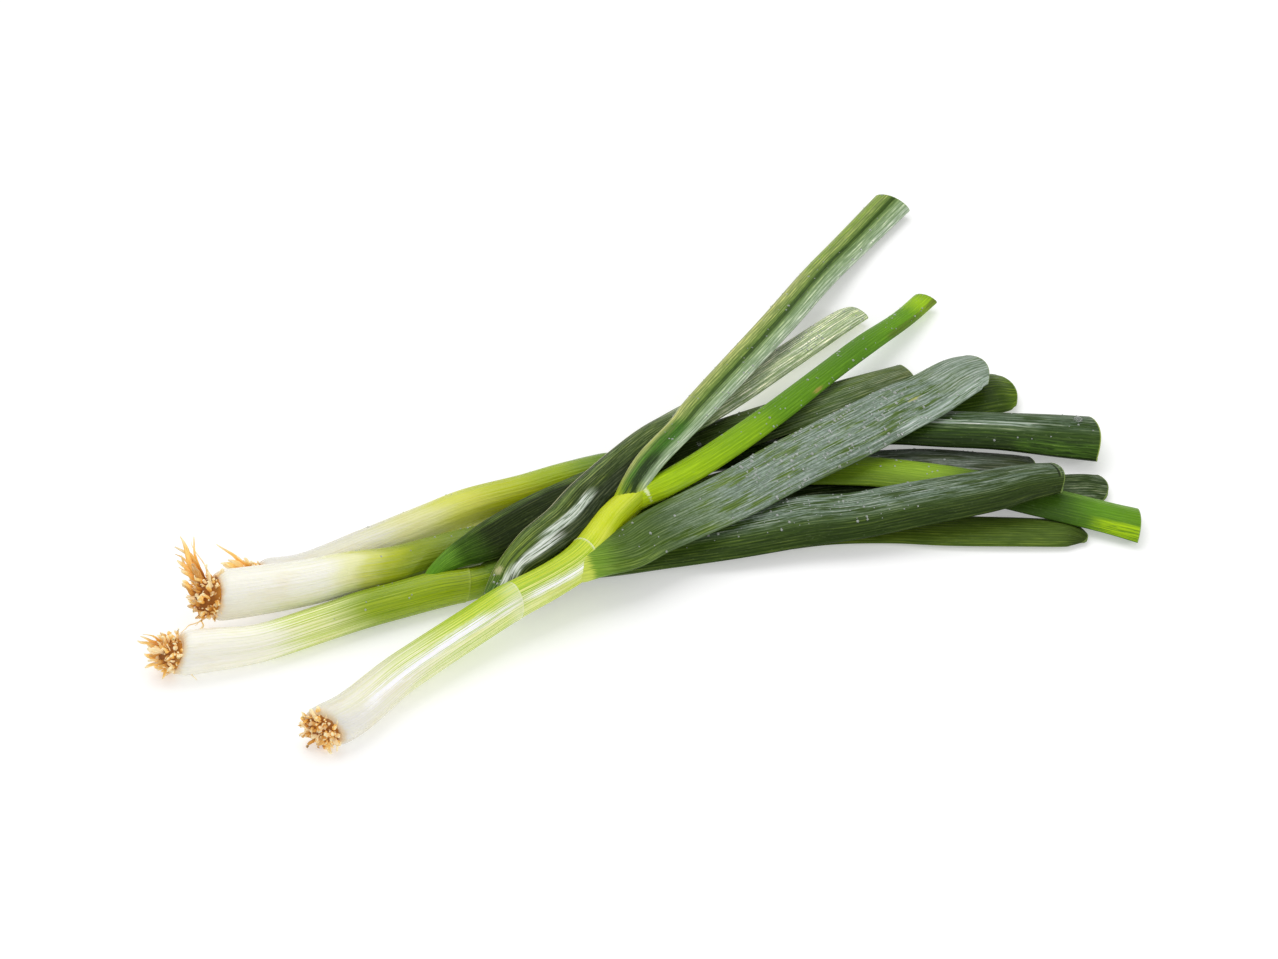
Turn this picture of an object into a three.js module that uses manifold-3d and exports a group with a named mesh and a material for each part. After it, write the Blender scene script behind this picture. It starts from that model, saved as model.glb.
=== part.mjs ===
// Spring onion bunch: four spring onions lying loosely crossed on a table.
//
// Millimetres, +Z up, the table at Z = 0. The roots point to -X and the trimmed leaves fan out to +X.
// Each onion is a shaft of wrapped leaf sheaths, a tuft of short roots on the end of its bulb,
// and two to four flattened hollow leaves that part from the shaft at its sheath rims.

import * as THREE from 'three';
import { mergeVertices } from 'three/addons/utils/BufferGeometryUtils.js';
import Module from 'manifold-3d';

const wasm = await Module();
wasm.setup();

// ---------- driving dimensions ----------

const PILE_MIDDLE = new THREE.Vector3(4.3, 29.2, 0); // the spot of the table that becomes the origin
const GAP = 0.45; // clear space between pieces that touch
const SHAFT_SIDES = 16;
const SHAFT_STEP = 10; // length of shaft between rings
const LEAF_SIDES = 14;
const LEAF_STEP = 13;

const BULB_ROUNDING = 4.5; // length over which the bulb's end rounds off
const BULB_SHOULDER = 1.4; // distance from the bulb's end to the next ring
const BULB_END = 0.68; // width of the bulb's flat end, as a share of the bulb
const RIM_LIP = 0.55; // how far a sheath's rim stands out from the shaft that leaves it
const RIM_LENGTH = 7; // length over which a sheath swells to its rim
const RIM_DROP = 0.5; // length of the step down from a rim
const RIM_CLEARANCE = 3; // no other ring comes this close to a rim

const MOUTH_DEPTH = 9; // open hollow at a trimmed leaf end
const MOUTH_WALL = 0.9; // leaf wall at that end
const MOUTH_TAPER = 0.7; // width of the hollow's bottom, as a share of its mouth
const EDGE_SHARPNESS = 1.25; // 1 gives an oval leaf, more gives it thin edges
const THINNEST_MOUTH = 1.4; // a leaf end of less half thickness than this stays closed
const CHANNEL_WIDTH = 0.42; // the channel along a leaf's upper face, as a share of its half width
const CHANNEL_RISE = [0.02, 0.14]; // shares of the leaf's length over which the channel deepens
const CHANNEL_FALL = [0.35, 0.95]; // and over which it fades out

const PLATE_RADIUS = 0.66; // root plate, as a share of the bulb's radius
const PLATE_HEIGHT = 3;
const PLATE_SIDES = 12;
const PLATE_RINGS = [
  [0, 1],
  [0.5, 0.9],
  [1, 0.45],
]; // share of the plate's height, share of its radius
const ROOT_RADIUS = 0.85;
const ROOT_SIDES = 3;
const ROOT_TAPER = [1, 0.85, 0.6]; // thickness at a root's foot, bend and tip
const ROOT_SPREAD = 0.8; // where the outermost roots stand, as a share of the plate's radius
const ROOT_FOOT = 0.9; // height of a root's foot inside the plate
const ROOT_BEND = 1.6; // how far a root's bend strays from the straight line
const ROOT_BEND_PLACE = 0.55; // where the bend lies, as a share of the root's length

// A course is a list of rows along the middle of a piece. Each row is
// [x, y, z, half width, half thickness, roll in degrees], and a positive roll lifts the far edge.
// A round shaft's rows give its radius once.
//
// A leaf's end is cut with a slant (its far edge reaches this much further) and a bow (its corners fall
// this far back), and it may be pinched thinner by a share. A channel is the depth of the groove along
// a leaf's upper face, as a share of its half thickness.

const ONIONS = {
  a: {
    shaft: [
      [-110.3, -132.6, 7.9, 8.3],
      [-100, -124.2, 7.9, 8.1],
      [-87, -108.4, 8.6, 7.5],
      [-77, -98.8, 9.6, 7.3],
      [-60, -84, 11.5, 7.2],
      [-47.5, -74.2, 13.6, 7.2],
      [-31.5, -64.5, 16.6, 6.8],
      [-20.5, -54, 18, 6.8],
      [-11, -35.6, 19.4, 6.1],
      [-2, -23, 20.3, 5.6],
      [0.3, -19.7, 20.5, 5.3],
    ],
    rims: [0.55, 0.758, 0.985],
    roots: { seed: 11, count: 24, length: [3, 7], splay: 50, lean: [-0.8, 0.2, 0.3] },
    leaves: [
      {
        rows: [
          [-4, -26, 20, 4.6, 4.2],
          [2, -21.8, 20.6, 4.9, 4.1],
          [9, -16.8, 21.2, 6, 3.8],
          [26, -1.6, 21.2, 6.4, 2.9],
          [50, 25.2, 20, 6.1, 2.5],
          [73, 56.3, 16.5, 5.6, 2.3],
          [91.5, 83.3, 11.5, 5.7, 2.3],
          [107.5, 105.4, 7, 5.1, 2.3],
          [118.4, 123, 4, 5.1, 2.3],
        ],
        slant: -0.6,
      },
      {
        rows: [
          [-8.2, -31.5, 20.6, 4.2, 4],
          [-4.5, -25, 22, 4.9, 3.8],
          [-1.5, -19, 24.4, 5.2, 3.4],
          [5, -7.5, 26.8, 5.8, 2.9],
          [17, 11, 27.5, 6, 2.6],
          [25, 28.4, 25, 6.9, 2.6],
          [55, 89.8, 15.6, 7.5, 2.7],
          [73.8, 131.1, 8.6, 7.7, 2.9],
          [91, 163, 4.6, 8.1, 3.1],
          [109.2, 192.3, 3.9, 8.8, 3.7],
        ],
        channel: 0.5,
        slant: 0.6,
      },
      {
        rows: [
          [-26.5, -61.3, 17, 5.7, 5],
          [-20.2, -57.4, 17.4, 6.9, 6, 5],
          [-13.5, -54, 17.8, 7.6, 5, 14],
          [-4, -49.2, 18, 8.6, 3.9, 20],
          [8, -39, 18.5, 9.5, 3.4, 20],
          [34.5, -20.5, 19, 10.5, 3.5, 18],
          [57, -2, 19, 11.2, 3.6, 16],
          [80.5, 15.5, 19.2, 11.8, 3.8, 14],
          [100.5, 32.6, 18.1, 11.7, 3.7, 12],
          [112.1, 42, 17.2, 11.2, 3.7, 10],
          [126.2, 57.2, 14.8, 10.5, 3.6, 8],
          [137, 66.6, 12.6, 9, 3.3, 6],
        ],
        pinch: 0.25,
        slant: 2,
        bow: 4.6,
      },
      {
        rows: [
          [-56.6, -77.5, 11.9, 4.1, 3.6],
          [-52.7, -73, 13, 5.1, 4, -2],
          [-49.7, -67.2, 15, 6, 3.7],
          [-45.8, -59.2, 18.6, 6.2, 2.9, 1],
          [-37.3, -49.8, 21.2, 8.7, 2.8],
          [-26.2, -36.8, 22, 9.3, 2.5],
          [-17, -20.5, 21.8, 9, 2.5],
          [2, 7, 20.6, 8.5, 2.4],
          [15, 21.5, 19.3, 8.4, 2.4],
          [35, 47, 13.5, 7.8, 2.6],
          [57.5, 76, 8.5, 7, 2.8],
          [82.5, 106.5, 4.8, 6.4, 2.7],
          [89.6, 114, 3.6, 5.4, 2.4],
        ],
        slant: -1,
      },
    ],
  },

  b: {
    shaft: [
      [-165.5, -94.5, 7.9, 8.2],
      [-152, -92, 7.8, 7.8],
      [-136, -87.5, 6.8, 6.9],
      [-114, -76.5, 6.5, 6.8],
      [-101, -70, 6.6, 6.9],
      [-88, -64.5, 6.5, 6.8],
      [-74.5, -59, 6.5, 6.8],
      [-63, -55.5, 6.2, 6.2],
      [-52, -51.1, 6.3, 6.3],
    ],
    rims: [0.897],
    roots: { seed: 23, count: 26, length: [6, 16], splay: 46, lean: [-0.6, 0.2, 0.5] },
    leaves: [
      {
        rows: [
          [-60, -53.8, 6.1, 6, 5.9],
          [-46, -48.2, 6.9, 6.9, 6.6],
          [-36.5, -45, 6.2, 7.2, 6.3],
          [-11.5, -40.1, 4.7, 8.5, 4.7],
          [11, -34.2, 5.6, 10.3, 4.2, 5],
          [35, -29.5, 7.6, 11.2, 4, 10],
          [62, -24, 9.7, 11.7, 4.1, 12],
          [80.5, -22.5, 11, 10.8, 3.8, 12],
          [103.5, -17.5, 12.5, 10.7, 3.7, 10],
          [130, -12, 14, 10.3, 3.6, 8],
          [147, -6.5, 14.2, 9.1, 3.5, 6],
          [160.8, -3.4, 14.2, 7.9, 3.2, 5],
        ],
        bow: 3.2,
      },
      {
        rows: [
          [-78.7, -58.6, 8, 3.2, 3, 35],
          [-73.4, -53.6, 12.6, 3, 3.4, 31],
          [-65.8, -48.9, 15.1, 5.3, 3.1, 19],
          [-54.3, -42.6, 16.8, 8.6, 2.9, 11],
          [-37, -26.3, 15.8, 10.4, 2.9],
          [-18.5, -12.5, 14.8, 10.8, 2.9],
          [8, 6, 14, 10.5, 2.9],
          [39, 25.5, 12.8, 10.2, 2.9],
          [63, 39, 12, 9.8, 2.9],
          [83, 51.5, 10.6, 9.3, 2.9],
          [107, 65.6, 9.2, 7, 2.7],
        ],
      },
      {
        rows: [
          [26, -30.5, 2.6, 5, 1.9],
          [34, -29.5, 2.3, 6.3, 1.9],
          [53, -24.5, 2.2, 7.5, 2.1],
          [72, -20.5, 2.2, 8.1, 2.3],
          [94.5, -19.5, 2.3, 8.5, 2.4],
          [117.5, -21, 2.4, 8.5, 2.5],
          [146, -21.8, 2.4, 8.1, 2.5],
          [160, -22.4, 2.2, 7.4, 2.4],
          [165.5, -23.5, 2.1, 5.8, 2.2],
          [169, -24.9, 1.9, 3.2, 1.9],
        ],
        pinch: 0.6,
        slant: -0.4,
        bow: 1.6,
      },
    ],
  },

  c: {
    shaft: [
      [-154, -73, 16.3, 9.3],
      [-143, -71, 16.3, 9.2],
      [-122, -65.5, 15.8, 8.5],
      [-106, -57, 13.2, 7.9],
      [-91, -50, 10.2, 7.3],
      [-77, -41.8, 8.2, 7.1],
      [-64, -37, 7.9, 7.4],
      [-55, -32.5, 7.2, 6.9],
    ],
    rims: [],
    roots: { seed: 37, count: 26, length: [6, 24], splay: 44, lean: [-0.1, 0.8, 1.1] },
    leaves: [
      {
        rows: [
          [-58, -35, 8.8, 5.2, 3],
          [-41, -29, 8.8, 7.1, 2.8],
          [-26, -23, 8.4, 7.4, 2.4],
          [0.5, -14, 8, 8, 2.4],
          [23, -5.5, 8, 8, 2.4],
          [54, 6.5, 8, 8.3, 2.5],
          [84.5, 7.5, 8, 8.5, 2.5],
          [107, 4, 8, 8.7, 2.5],
          [128.5, -1.5, 8, 8.4, 2.5, 4],
          [150.5, -8.5, 7, 7.7, 2.4, 10],
          [176.5, -16, 4.8, 8, 2.6, 6],
          [189, -19.5, 3.4, 9.4, 3.1],
        ],
        slant: -1.6,
        bow: 0.8,
      },
      {
        rows: [
          [-58, -30, 3.6, 3.8, 2.1],
          [-41, -17.5, 2.2, 5.6, 2.2],
          [-26, -10.5, 2.2, 6.4, 2.2],
          [0.5, -3, 2.2, 7.1, 2.3],
          [23.5, 3, 2.2, 7.4, 2.3],
          [62, 12, 2.2, 7.5, 2.4],
          [81.5, 17, 2.3, 7.9, 2.5],
          [109, 19, 2.3, 8.6, 2.5],
          [132, 17.5, 2.3, 8, 2.5],
          [153.5, 15.3, 2.4, 7.4, 2.5],
        ],
        pinch: 0.5,
        bow: 3,
      },
      {
        rows: [
          [-58, -35, 3.2, 3.8, 2.1],
          [-41, -28, 2.2, 5.7, 2.2],
          [-26, -23, 2.1, 6.4, 2.2],
          [0.5, -16.5, 2.1, 7, 2.2],
          [42.5, -6.5, 2.2, 7.7, 2.3],
          [81, 1, 2.2, 7.5, 2.3],
          [119, 1, 2.2, 6.4, 2.2],
          [150, 0.5, 2.3, 6, 2.3],
          [163, 3.4, 2.5, 8, 2.6],
          [180, 4, 2.7, 7.7, 2.7],
        ],
        pinch: 0.6,
        bow: 3,
      },
    ],
  },

  d: {
    shaft: [
      [-139, -54, 7.4, 7.6],
      [-123, -50, 7.2, 7.4],
      [-102, -36.5, 7, 7.3],
      [-80, -22.5, 6.9, 7.4],
      [-64.5, -12.9, 6.9, 7.4],
      [-44, -3.8, 6.6, 7],
      [-30, 3.2, 6.4, 6.8],
      [-15, 9.7, 6.1, 6.6],
      [-9.5, 12, 5.9, 6],
    ],
    rims: [],
    roots: { seed: 53, count: 22, length: [6, 16], splay: 46, lean: [-0.7, 0.4, 0.3] },
    leaves: [
      {
        rows: [
          [-18, 9.5, 3.8, 5, 2.4],
          [-12.5, 14, 3, 6, 2.6],
          [4.5, 23, 2.7, 7.6, 2.8],
          [24, 30.5, 2.8, 8.3, 3],
          [63.5, 41.5, 2.9, 9, 3.1],
          [103.5, 53.5, 3, 11.6, 3.3],
          [123.5, 57, 3, 12.2, 3.3],
          [144.5, 62.3, 3.3, 12, 3.5],
          [150, 63.6, 3.4, 10, 3.4],
        ],
        pinch: 0.7,
        bow: 3,
      },
      {
        rows: [
          [-19, 6, 8.6, 5, 2.8],
          [-12, 6, 8.9, 6, 3.1],
          [4, 9.5, 7.4, 6, 3.8],
          [23.5, 17, 4.6, 5.6, 4.2],
          [62.5, 26, 4.6, 5.8, 4.2],
          [82, 31, 7, 8.2, 3.9],
          [97, 33, 8.9, 10, 4],
          [118.5, 31.9, 8.9, 10.6, 3.9],
          [140.5, 31, 8.5, 11, 4.1],
          [163, 29.5, 7.4, 12.5, 4.6],
          [178.7, 28.4, 6.5, 13, 4.9],
        ],
        slant: -1.5,
        bow: 2.6,
      },
    ],
  },
};

// ---------- materials ----------

const paint = (colour, roughness) =>
  new THREE.MeshStandardMaterial({ color: colour, roughness, metalness: 0 });

const MATERIALS = {
  shaft: () => paint(0xdfe8a8, 0.35),
  roots: () => paint(0xc08a4a, 0.8),
  lime: () => paint(0x8fc222, 0.35),
  green: () => paint(0x2f5a22, 0.4),
  bloom: () => paint(0x8fa39a, 0.55),
};
const LEAF_MATERIALS = {
  a: ['lime', 'green', 'bloom', 'green'],
  b: ['green', 'bloom', 'green'],
  c: ['lime', 'green', 'green'],
  d: ['green', 'green'],
};

// ---------- sections along a course ----------

const UP = new THREE.Vector3(0, 0, 1);
const STEEP = 0.9; // a root with a larger upward part than this takes its sides from the X axis

function openCurve(points) {
  return new THREE.CatmullRomCurve3(points, false, 'catmullrom', 0.5);
}

// Returns the length of a course, and a function that gives the frame and size at a distance along it.
function course(rows) {
  const middles = openCurve(rows.map(([x, y, z]) => new THREE.Vector3(x, y, z)));
  const sizes = openCurve(rows.map(([, , , a, b = a, roll = 0]) => new THREE.Vector3(a, b, roll)));
  middles.arcLengthDivisions = 40 * rows.length;
  const length = middles.getLength();

  const at = (distance) => {
    const t = middles.getUtoTmapping(THREE.MathUtils.clamp(distance / length, 0, 1));
    const middle = middles.getPoint(t);
    const along = middles.getTangent(t);
    const flatSide = new THREE.Vector3().crossVectors(UP, along).normalize();
    const flatUp = new THREE.Vector3().crossVectors(along, flatSide);
    const size = sizes.getPoint(t);
    const roll = THREE.MathUtils.degToRad(size.z);
    const side = flatSide.clone().multiplyScalar(Math.cos(roll)).addScaledVector(flatUp, Math.sin(roll));
    const up = new THREE.Vector3().crossVectors(along, side);
    return { middle, along, side, up, a: size.x, b: size.y };
  };
  return { length, at };
}

// The points of one closed ring, pressed flat where it would dip below the table.
function ringPoints(frame, sides, outline, shift = () => 0) {
  const points = [];
  for (let k = 0; k < sides; k += 1) {
    const angle = (2 * Math.PI * k) / sides;
    const [u, v] = outline(angle, frame);
    const point = frame.middle
      .clone()
      .addScaledVector(frame.side, u)
      .addScaledVector(frame.up, v)
      .addScaledVector(frame.along, shift(angle));
    point.z = Math.max(point.z, 0);
    points.push(point);
  }
  return points;
}

// A closed skin over a list of rings, with a fan at each end.
function skin(rings) {
  const sides = rings[0].length;
  const points = rings.flat();
  const triangles = [];
  for (let ring = 0; ring < rings.length - 1; ring += 1) {
    for (let k = 0; k < sides; k += 1) {
      const a = ring * sides + k;
      const b = ring * sides + ((k + 1) % sides);
      triangles.push([a, b, b + sides], [a, b + sides, a + sides]);
    }
  }
  const addFan = (ring, flip) => {
    const hub = points.length;
    const middle = rings[ring].reduce((sum, point) => sum.add(point), new THREE.Vector3());
    points.push(middle.divideScalar(sides));
    for (let k = 0; k < sides; k += 1) {
      const a = ring * sides + k;
      const b = ring * sides + ((k + 1) % sides);
      triangles.push(flip ? [hub, b, a] : [hub, a, b]);
    }
  };
  addFan(0, true);
  addFan(rings.length - 1, false);

  const geometry = new THREE.BufferGeometry();
  geometry.setAttribute(
    'position',
    new THREE.Float32BufferAttribute(points.flatMap((p) => p.toArray()), 3),
  );
  geometry.setIndex(triangles.flat());
  return geometry;
}

function evenDistances(from, to, step) {
  const count = Math.max(1, Math.round((to - from) / step));
  return Array.from({ length: count + 1 }, (_, i) => (i === count ? to : from + ((to - from) * i) / count));
}

// Moves the first and last ring of a grown piece outwards.
function growEnd(frame, distance, length, grow) {
  if (distance === 0) {
    frame.middle.addScaledVector(frame.along, -grow);
  } else if (distance === length) {
    frame.middle.addScaledVector(frame.along, grow);
  }
}

// ---------- shafts ----------

function shaftGeometry({ shaft, rims }, grow = 0) {
  const { length, at } = course(shaft);
  const rimPlaces = rims.map((share) => share * length);
  const bulb = [0, BULB_SHOULDER, BULB_ROUNDING];
  const distances = [...bulb, ...evenDistances(2 * BULB_ROUNDING, length, SHAFT_STEP)];
  for (const place of rimPlaces) {
    distances.push(place - RIM_LENGTH, place, place + RIM_DROP);
  }
  const crowds = (d, place) => Math.abs(d - place) < RIM_CLEARANCE && d !== place && d !== place + RIM_DROP;
  const ordered = distances
    .filter((d) => d === length || (d < length && !rimPlaces.some((place) => crowds(d, place))))
    .sort((p, q) => p - q);

  const rings = ordered.map((distance) => {
    const frame = at(distance);
    const inset = Math.max(0, 1 - distance / BULB_ROUNDING);
    const rounding = BULB_END + (1 - BULB_END) * Math.sqrt(1 - inset * inset);
    const swell = rimPlaces.reduce((most, place) => {
      const before = place - distance;
      return before < 0 || before > RIM_LENGTH ? most : Math.max(most, 1 - before / RIM_LENGTH);
    }, 0);
    const radius = frame.a * rounding + RIM_LIP * swell + grow;
    growEnd(frame, distance, length, grow);
    return ringPoints(frame, SHAFT_SIDES, (angle) => [radius * Math.cos(angle), radius * Math.sin(angle)]);
  });
  return skin(rings);
}

// ---------- leaves ----------

function leafOutline(grow) {
  return (angle, { a, b, channel }) => {
    const across = Math.cos(angle);
    const rise = Math.sign(Math.sin(angle)) * Math.abs(Math.sin(angle)) ** EDGE_SHARPNESS;
    const dip = rise > 0 ? 1 - channel * Math.exp(-((across / CHANNEL_WIDTH) ** 2)) : 1;
    return [(a + grow) * across, (b + grow) * rise * dip];
  };
}

function leafGeometry({ rows, channel = 0, slant = 0, bow = 0, pinch = 0 }, grow = 0) {
  const { length, at } = course(rows);
  const { smoothstep } = THREE.MathUtils;
  const leafFrame = (distance) => {
    const frame = at(distance);
    const share = distance / length;
    frame.channel = channel * smoothstep(share, ...CHANNEL_RISE) * (1 - smoothstep(share, ...CHANNEL_FALL));
    if (distance === length) {
      frame.b *= 1 - pinch;
    }
    return frame;
  };
  const cut = (angle) => slant * Math.cos(angle) - bow * Math.cos(angle) ** 2;
  const outline = leafOutline(grow);
  const rings = evenDistances(0, length, LEAF_STEP).map((distance) => {
    const frame = leafFrame(distance);
    growEnd(frame, distance, length, grow);
    return ringPoints(frame, LEAF_SIDES, outline, distance === length ? cut : undefined);
  });
  const end = leafFrame(length);
  if (grow > 0 || end.b < THINNEST_MOUTH) {
    return skin(rings);
  }
  const mouth = leafOutline(-MOUTH_WALL);
  const bottom = (angle, frame) => mouth(angle, frame).map((value) => value * MOUTH_TAPER);
  rings.push(ringPoints(end, LEAF_SIDES, mouth, cut));
  rings.push(ringPoints(leafFrame(length - MOUTH_DEPTH), LEAF_SIDES, bottom, cut));
  return skin(rings);
}

// ---------- roots ----------

// A small seeded generator, so that every build grows the same roots.
function seededRandom(seed) {
  let state = seed * 7919 + 13;
  return () => {
    state = (state * 16807) % 2147483647;
    return state / 2147483647;
  };
}

function rootletGeometry(foot, tip, bend, radius) {
  const middle = foot.clone().lerp(tip, ROOT_BEND_PLACE).add(bend);
  const rings = [foot, middle, tip].map((point, index) => {
    const along = index < 2 ? middle.clone().sub(foot) : tip.clone().sub(middle);
    along.normalize();
    const reference = Math.abs(along.z) < STEEP ? UP : new THREE.Vector3(1, 0, 0);
    const side = new THREE.Vector3().crossVectors(along, reference).normalize();
    const up = new THREE.Vector3().crossVectors(side, along);
    const frame = { middle: point, along, side: up, up: side };
    const size = radius * ROOT_TAPER[index];
    return ringPoints(frame, ROOT_SIDES, (angle) => [size * Math.cos(angle), size * Math.sin(angle)]);
  });
  return skin(rings);
}

function rootGeometries({ shaft, roots }) {
  const { at } = course(shaft);
  const end = at(0);
  const outward = end.along.clone().negate();
  const plateRadius = shaft[0][3] * PLATE_RADIUS;
  const place = (radial, angle, out) =>
    end.middle
      .clone()
      .addScaledVector(end.side, radial * Math.cos(angle))
      .addScaledVector(end.up, radial * Math.sin(angle))
      .addScaledVector(outward, out);

  const plateRing = (rise, share) =>
    Array.from({ length: PLATE_SIDES }, (_, k) => {
      const angle = (-2 * Math.PI * k) / PLATE_SIDES;
      return place(plateRadius * share, angle, GAP + PLATE_HEIGHT * rise);
    });
  const pieces = [skin(PLATE_RINGS.map(([rise, share]) => plateRing(rise, share)))];

  const random = seededRandom(roots.seed);
  const lean = new THREE.Vector3(...roots.lean);
  const goldenAngle = Math.PI * (3 - Math.sqrt(5));
  for (let i = 0; i < roots.count; i += 1) {
    const share = Math.sqrt((i + 0.5) / roots.count);
    const angle = i * goldenAngle + 0.4 * random();
    const splay = THREE.MathUtils.degToRad(roots.splay) * share * (0.8 + 0.4 * random());
    const direction = place(Math.sin(splay), angle, Math.cos(splay)).sub(end.middle);
    const withLean = (1 + direction.dot(lean) / lean.length()) / 2;
    direction.addScaledVector(lean, 0.3 + 0.3 * random()).normalize();
    const [shortest, longest] = roots.length;
    const reach = shortest + (longest - shortest) * withLean ** 2 * (0.55 + 0.45 * random());
    const foot = place(plateRadius * ROOT_SPREAD * share, angle, GAP + ROOT_FOOT);
    const tip = foot.clone().addScaledVector(direction, reach);
    tip.z = Math.max(tip.z, ROOT_RADIUS * ROOT_TAPER[2]);
    const bend = new THREE.Vector3(random() - 0.5, random() - 0.5, random() - 0.5).multiplyScalar(ROOT_BEND);
    pieces.push(rootletGeometry(foot, tip, bend, ROOT_RADIUS * (0.85 + 0.3 * random())));
  }
  return pieces;
}

// ---------- joins and cuts ----------

function toSolid(geometry) {
  const bare = geometry.clone();
  bare.deleteAttribute('normal');
  bare.deleteAttribute('uv');
  const merged = mergeVertices(bare, 1e-4);
  return new wasm.Manifold(
    new wasm.Mesh({
      numProp: 3,
      vertProperties: new Float32Array(merged.attributes.position.array),
      triVerts: new Uint32Array(merged.index.array),
    }),
  );
}

function toGeometry(solid) {
  const mesh = solid.getMesh();
  const geometry = new THREE.BufferGeometry();
  geometry.setAttribute('position', new THREE.BufferAttribute(new Float32Array(mesh.vertProperties), 3));
  geometry.setIndex(new THREE.BufferAttribute(new Uint32Array(mesh.triVerts), 1));
  geometry.computeVertexNormals();
  return geometry;
}

function largestPiece(solid) {
  const loose = solid.decompose();
  return loose.reduce((best, piece) => (piece.volume() > best.volume() ? piece : best));
}

// ---------- the bunch ----------

const bunch = new THREE.Group();
bunch.position.copy(PILE_MIDDLE).negate();

function addPiece(name, solid, material) {
  const mesh = new THREE.Mesh(toGeometry(solid), material);
  mesh.name = name;
  bunch.add(mesh);
}

for (const [letter, onion] of Object.entries(ONIONS)) {
  const shaft = toSolid(shaftGeometry(onion));
  addPiece(`onion_${letter}_shaft`, shaft, MATERIALS.shaft());

  const roots = rootGeometries(onion).map(toSolid).reduce((joined, piece) => joined.add(piece));
  addPiece(`onion_${letter}_roots`, roots.subtract(toSolid(shaftGeometry(onion, GAP))), MATERIALS.roots());

  const neighbours = [toSolid(shaftGeometry(onion, GAP))];
  onion.leaves.forEach((leaf, index) => {
    const solid = neighbours.reduce((rest, other) => rest.subtract(other), toSolid(leafGeometry(leaf)));
    const material = MATERIALS[LEAF_MATERIALS[letter][index]]();
    addPiece(`onion_${letter}_leaf_${index + 1}`, largestPiece(solid), material);
    neighbours.push(toSolid(leafGeometry(leaf, GAP)));
  });
}

export default bunch;
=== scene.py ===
# Spring onion bunch: the looks of four spring onions lying loosely crossed on a pale table.
#
# The courses below are those of the CAD part, in millimetres; every mesh is made in metres in the frame of
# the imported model. Each piece is a closed skin lofted along its course, with the finer ribs, rims, roots
# and water drops that the solids leave out.

import math

import bpy
import numpy as np
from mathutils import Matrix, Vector


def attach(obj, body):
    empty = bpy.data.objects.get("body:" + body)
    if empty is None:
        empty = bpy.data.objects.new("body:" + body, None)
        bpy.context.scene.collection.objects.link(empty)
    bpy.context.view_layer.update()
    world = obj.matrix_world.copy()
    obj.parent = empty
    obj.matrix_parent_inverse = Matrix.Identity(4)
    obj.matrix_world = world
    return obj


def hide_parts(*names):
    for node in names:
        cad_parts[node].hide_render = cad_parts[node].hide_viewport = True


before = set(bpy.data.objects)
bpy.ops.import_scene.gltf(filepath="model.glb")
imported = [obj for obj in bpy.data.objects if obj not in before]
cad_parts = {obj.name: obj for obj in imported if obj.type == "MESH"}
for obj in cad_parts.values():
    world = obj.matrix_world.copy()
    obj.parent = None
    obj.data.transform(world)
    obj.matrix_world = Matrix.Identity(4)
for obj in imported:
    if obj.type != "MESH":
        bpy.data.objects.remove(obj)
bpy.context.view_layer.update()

MM = 0.001
PILE_MIDDLE = np.array([4.3, 29.2, 0.0])  # the spot of the table under the origin
UP = np.array([0.0, 0.0, 1.0])
TABLE_GAP = 0.02  # no point lies lower than this

SHAFT_SIDES = 96
SHAFT_STEP = 1.2
BULB_ROUNDING = 4.5
BULB_END = 0.68
BULB_STEPS = [0, 0.15, 0.4, 0.9, 1.7, 2.8, 4, 5.4]  # places of the first rings
BULB_LENGTH = 6
RIM_LIP = 0.12
RIM_DIP = 0.15  # how far a rim sinks on the side away from its lip
RIM_LENGTH = 9.0
RIM_STEP = 0.3
RIM_STEPS = [0.6, 0.4, 0.25, 0.1, 0]  # the last rings, by the distance to the rim
RIM_FOLD = ((-0.04, 0.08), (-0.02, 0.2), (0.3, 0.3), (4.0, 1.2))  # distance back and depth of the inner rings
LIP_LENGTH = 2.5
SLANT_LENGTH = 16  # the slant of the root end fades over this length
SHEATH_RIBS, SHEATH_RIB_COUNTS = 0.06, (31, 43, 24)
SHEATH_SWELL, SWELL_COUNTS = 0.12, (2, 3, 5)

LEAF_SIDES = 104
LEAF_STEP = 1.8
FOOT_STEPS = [0, 0.02, 0.06, 0.13, 0.24, 0.4, 0.6, 0.8]  # shares of the length over which a leaf opens
TIP_STEPS = [0.6, 0.3, 0.0]
FOOT_WIDTH, FOOT_THICKNESS = 0.35, 0.25  # of the closed foot, as shares of the leaf's own
PINCH_LENGTH = 12
LEAF_RIB_COUNTS = (19, 27, 34)
LEAF_DENTS, DENT_COUNTS = 0.12, (1, 2, 3)
CREASE_COUNTS = (5, 8, 13)
NICK_COUNTS = (3, 5, 9, 14)
EDGE_SHARPNESS = 1.25
CHANNEL_WIDTH = 0.42
# The rings of an open tip: distance back from the cut, thickness of the wall, taper, share of the inner colour.
MOUTH = ((-0.12, 0.18, 1, 0.3), (0, 0.45, 1, 0.8), (0.5, 0.7, 1, 1), (3, 0.7, 0.92, 1), (9, 0.7, 0.7, 1))

GOLDEN_ANGLE = math.pi * (3 - math.sqrt(5))
PLATE_LATITUDES = [118, 104, 90, 76, 62, 48, 34, 20, 8]
PLATE_SIDES = 48
PLATE_BUMPS, BUMP_COUNTS = 0.07, (7, 12, 19)
FIBRE_POINTS = 9
STUB_WIDTHS = [0.35, 0.5, 0.65, 0.85]
HAIR_WIDTH = 0.26
DROP_LEVELS = (-0.25, 0.1, 0.5, 0.8, 0.97)
DROP_SIDES = 10

BRIGHT_BAND = 0.5  # bands brighter than this are painted highlights, and the veins stay faint under them
DETAIL_DEPTH = 0.0005  # the reach of the fine relief of a skin, in metres

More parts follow.
